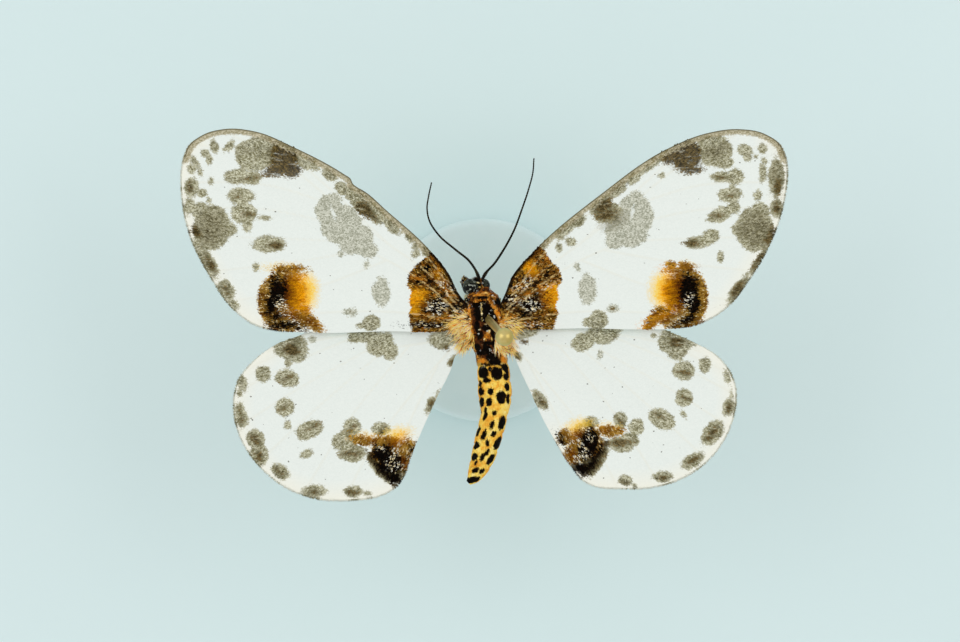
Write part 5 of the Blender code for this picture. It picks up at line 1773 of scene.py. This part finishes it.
class MOTH_OT_coat(bpy.types.Operator):
    """Covers the body in scales and hair, with the long hair behind the wing hinges"""

    bl_idname = "moth.coat"
    bl_label = "Coat"

    def execute(self, context):
        sizes = context.scene.moth_sizes
        rng = np.random.default_rng(SEED + 20)
        hair, scale = sizes.hair / MM, sizes.body_scale / MM
        abdomen = coat(
            sizes.scale_count, -1.95, -10.66, scale, 0.045, (0.03, 0.25), (-0.15, 0.05), 0.0, 0.2, rng
        )
        add_tufts("abdomen_scales", abdomen, "body_tufts")
        thorax = coat(sizes.hair_count, 1.62, -2.2, hair, 0.026, (0.1, 0.5), (-0.35, 0.0), 0.25, 0.4, rng)
        add_tufts("thorax_hair", thorax, "body_tufts")
        head = coat(4200, 2.8, 1.55, 0.2, 0.024, (0.2, 0.9), (-0.4, 0.1), 0.0, 0.35, rng)
        add_tufts("head_scales", keep_tufts(head, clear_of_eyes(head["root"])), "body_tufts")
        add_tufts("wing_base_hair", wing_base_hair(sizes, rng), "hinge_tufts")
        return {"FINISHED"}


class MOTH_OT_head_parts(bpy.types.Operator):
    """Adds the eyes, the palps and the coiled tongue"""

    bl_idname = "moth.head_parts"
    bl_label = "Eyes and mouth parts"

    def execute(self, context):
        for name in EYES:
            make_eye(name)
        make_mouth_parts()
        return {"FINISHED"}


class MOTH_OT_feelers(bpy.types.Operator):
    """Makes the two ringed feelers"""

    bl_idname = "moth.feelers"
    bl_label = "Feelers"

    def execute(self, context):
        for side_name in FEELER_LINES:
            make_feeler(side_name, context.scene.moth_sizes)
        return {"FINISHED"}


class MOTH_OT_legs(bpy.types.Operator):
    """Makes the six jointed legs with spurs, claws and small scales"""

    bl_idname = "moth.legs"
    bl_label = "Legs"

    def execute(self, context):
        for which in LEG_LINES:
            for side in (-1, 1):
                make_leg(which, side)
        rng = np.random.default_rng(SEED + 30)
        add_tufts("limb_scales", limb_tufts(rng), "body_tufts")
        return {"FINISHED"}


class MOTH_OT_stand(bpy.types.Operator):
    """Makes the pin and the painted disc that it stands in"""

    bl_idname = "moth.stand"
    bl_label = "Pin and base"

    def execute(self, context):
        make_pin(context.scene.moth_sizes)
        make_base(context.scene.moth_sizes)
        return {"FINISHED"}


# The camera looks straight down from the photograph's height over its middle
CAMERA_PLACE = (-0.264, -0.066, 370.0)
CAMERA_LENS, CAMERA_SENSOR = 198.8, 36.0
FLOOR_REACH = 1200.0
LIGHT_PLACES = [(-260.0, 70.0, 330.0), (260.0, 70.0, 330.0)]
LIGHT_SIZE = 260.0


class MOTH_OT_stage(bpy.types.Operator):
    """Sets up the plain floor, two soft side lights, the even sky and the camera"""

    bl_idname = "moth.stage"
    bl_label = "Stage"

    def execute(self, context):
        scene, settings = context.scene, context.scene.moth_stage
        corners = FLOOR_REACH * np.array([(-1, -1, 0), (1, -1, 0), (1, 1, 0), (-1, 1, 0)], float)
        mesh = make_mesh("floor", corners, np.array([(0, 1, 2, 3)]))
        mesh.materials.append(material_named("floor_paint"))
        floor = bpy.data.objects.new("floor", mesh)
        scene.collection.objects.link(floor)
        for number, place in enumerate(LIGHT_PLACES):
            lamp = bpy.data.lights.new(f"side_light_{number}", "AREA")
            lamp.energy = settings.side_light
            lamp.size = LIGHT_SIZE * MM
            light = bpy.data.objects.new(lamp.name, lamp)
            light.location = np.array(place) * MM
            towards = Vector((0, 0, BODY_LEVEL)) - Vector(place)
            light.rotation_euler = towards.to_track_quat("-Z", "Y").to_euler()
            scene.collection.objects.link(light)
        world = bpy.data.worlds.new("even_sky")
        world.use_nodes = True
        sky = world.node_tree.nodes["Background"].inputs
        sky["Color"].default_value = (1.0, 1.0, 1.0, 1.0)
        sky["Strength"].default_value = settings.sky_light
        scene.world = world
        scene.view_settings.view_transform = "Standard"
        lens = bpy.data.cameras.new("camera")
        lens.sensor_width = CAMERA_SENSOR
        lens.lens = CAMERA_LENS
        lens.clip_start, lens.clip_end = 0.01, 10.0
        camera = bpy.data.objects.new("camera", lens)
        camera.location = np.array(CAMERA_PLACE) * MM
        scene.collection.objects.link(camera)
        scene.camera = camera
        return {"FINISHED"}


OPERATORS = (
    MOTH_OT_stage, MOTH_OT_wings, MOTH_OT_wing_scales, MOTH_OT_body, MOTH_OT_coat, MOTH_OT_head_parts,
    MOTH_OT_feelers, MOTH_OT_legs, MOTH_OT_stand,
)


class MOTH_PT_pieces(bpy.types.Panel):
    """Lists the sizes, the colours and a button for each group of pieces"""

    bl_idname = "MOTH_PT_pieces"
    bl_label = "Moth"
    bl_space_type = "VIEW_3D"
    bl_region_type = "UI"
    bl_category = "Moth"

    def draw(self, context):
        scene, layout = context.scene, self.layout
        for operator in OPERATORS:
            layout.operator(operator.bl_idname)
        for settings in (scene.moth_sizes, scene.moth_colours, scene.moth_stage):
            box = layout.box()
            for name in settings.bl_rna.properties.keys():
                if name not in ("rna_type", "name"):
                    box.prop(settings, name)


CLASSES = (MothSizes, MothColours, StageSettings, *OPERATORS, MOTH_PT_pieces)


def register():
    """Registers the classes and hangs the three groups of settings on the scene."""
    for each in CLASSES:
        bpy.utils.register_class(each)
    bpy.types.Scene.moth_sizes = PointerProperty(type=MothSizes)
    bpy.types.Scene.moth_colours = PointerProperty(type=MothColours)
    bpy.types.Scene.moth_stage = PointerProperty(type=StageSettings)


def unregister():
    """Takes away what register added, in the opposite order."""
    del bpy.types.Scene.moth_sizes
    del bpy.types.Scene.moth_colours
    del bpy.types.Scene.moth_stage
    for each in reversed(CLASSES):
        bpy.utils.unregister_class(each)


def main():
    register()
    bpy.ops.moth.stage()
    bpy.ops.moth.wings()
    bpy.ops.moth.wing_scales()
    bpy.ops.moth.body()
    bpy.ops.moth.coat()
    bpy.ops.moth.head_parts()
    bpy.ops.moth.feelers()
    bpy.ops.moth.legs()
    bpy.ops.moth.stand()


if __name__ == "__main__":
    main()
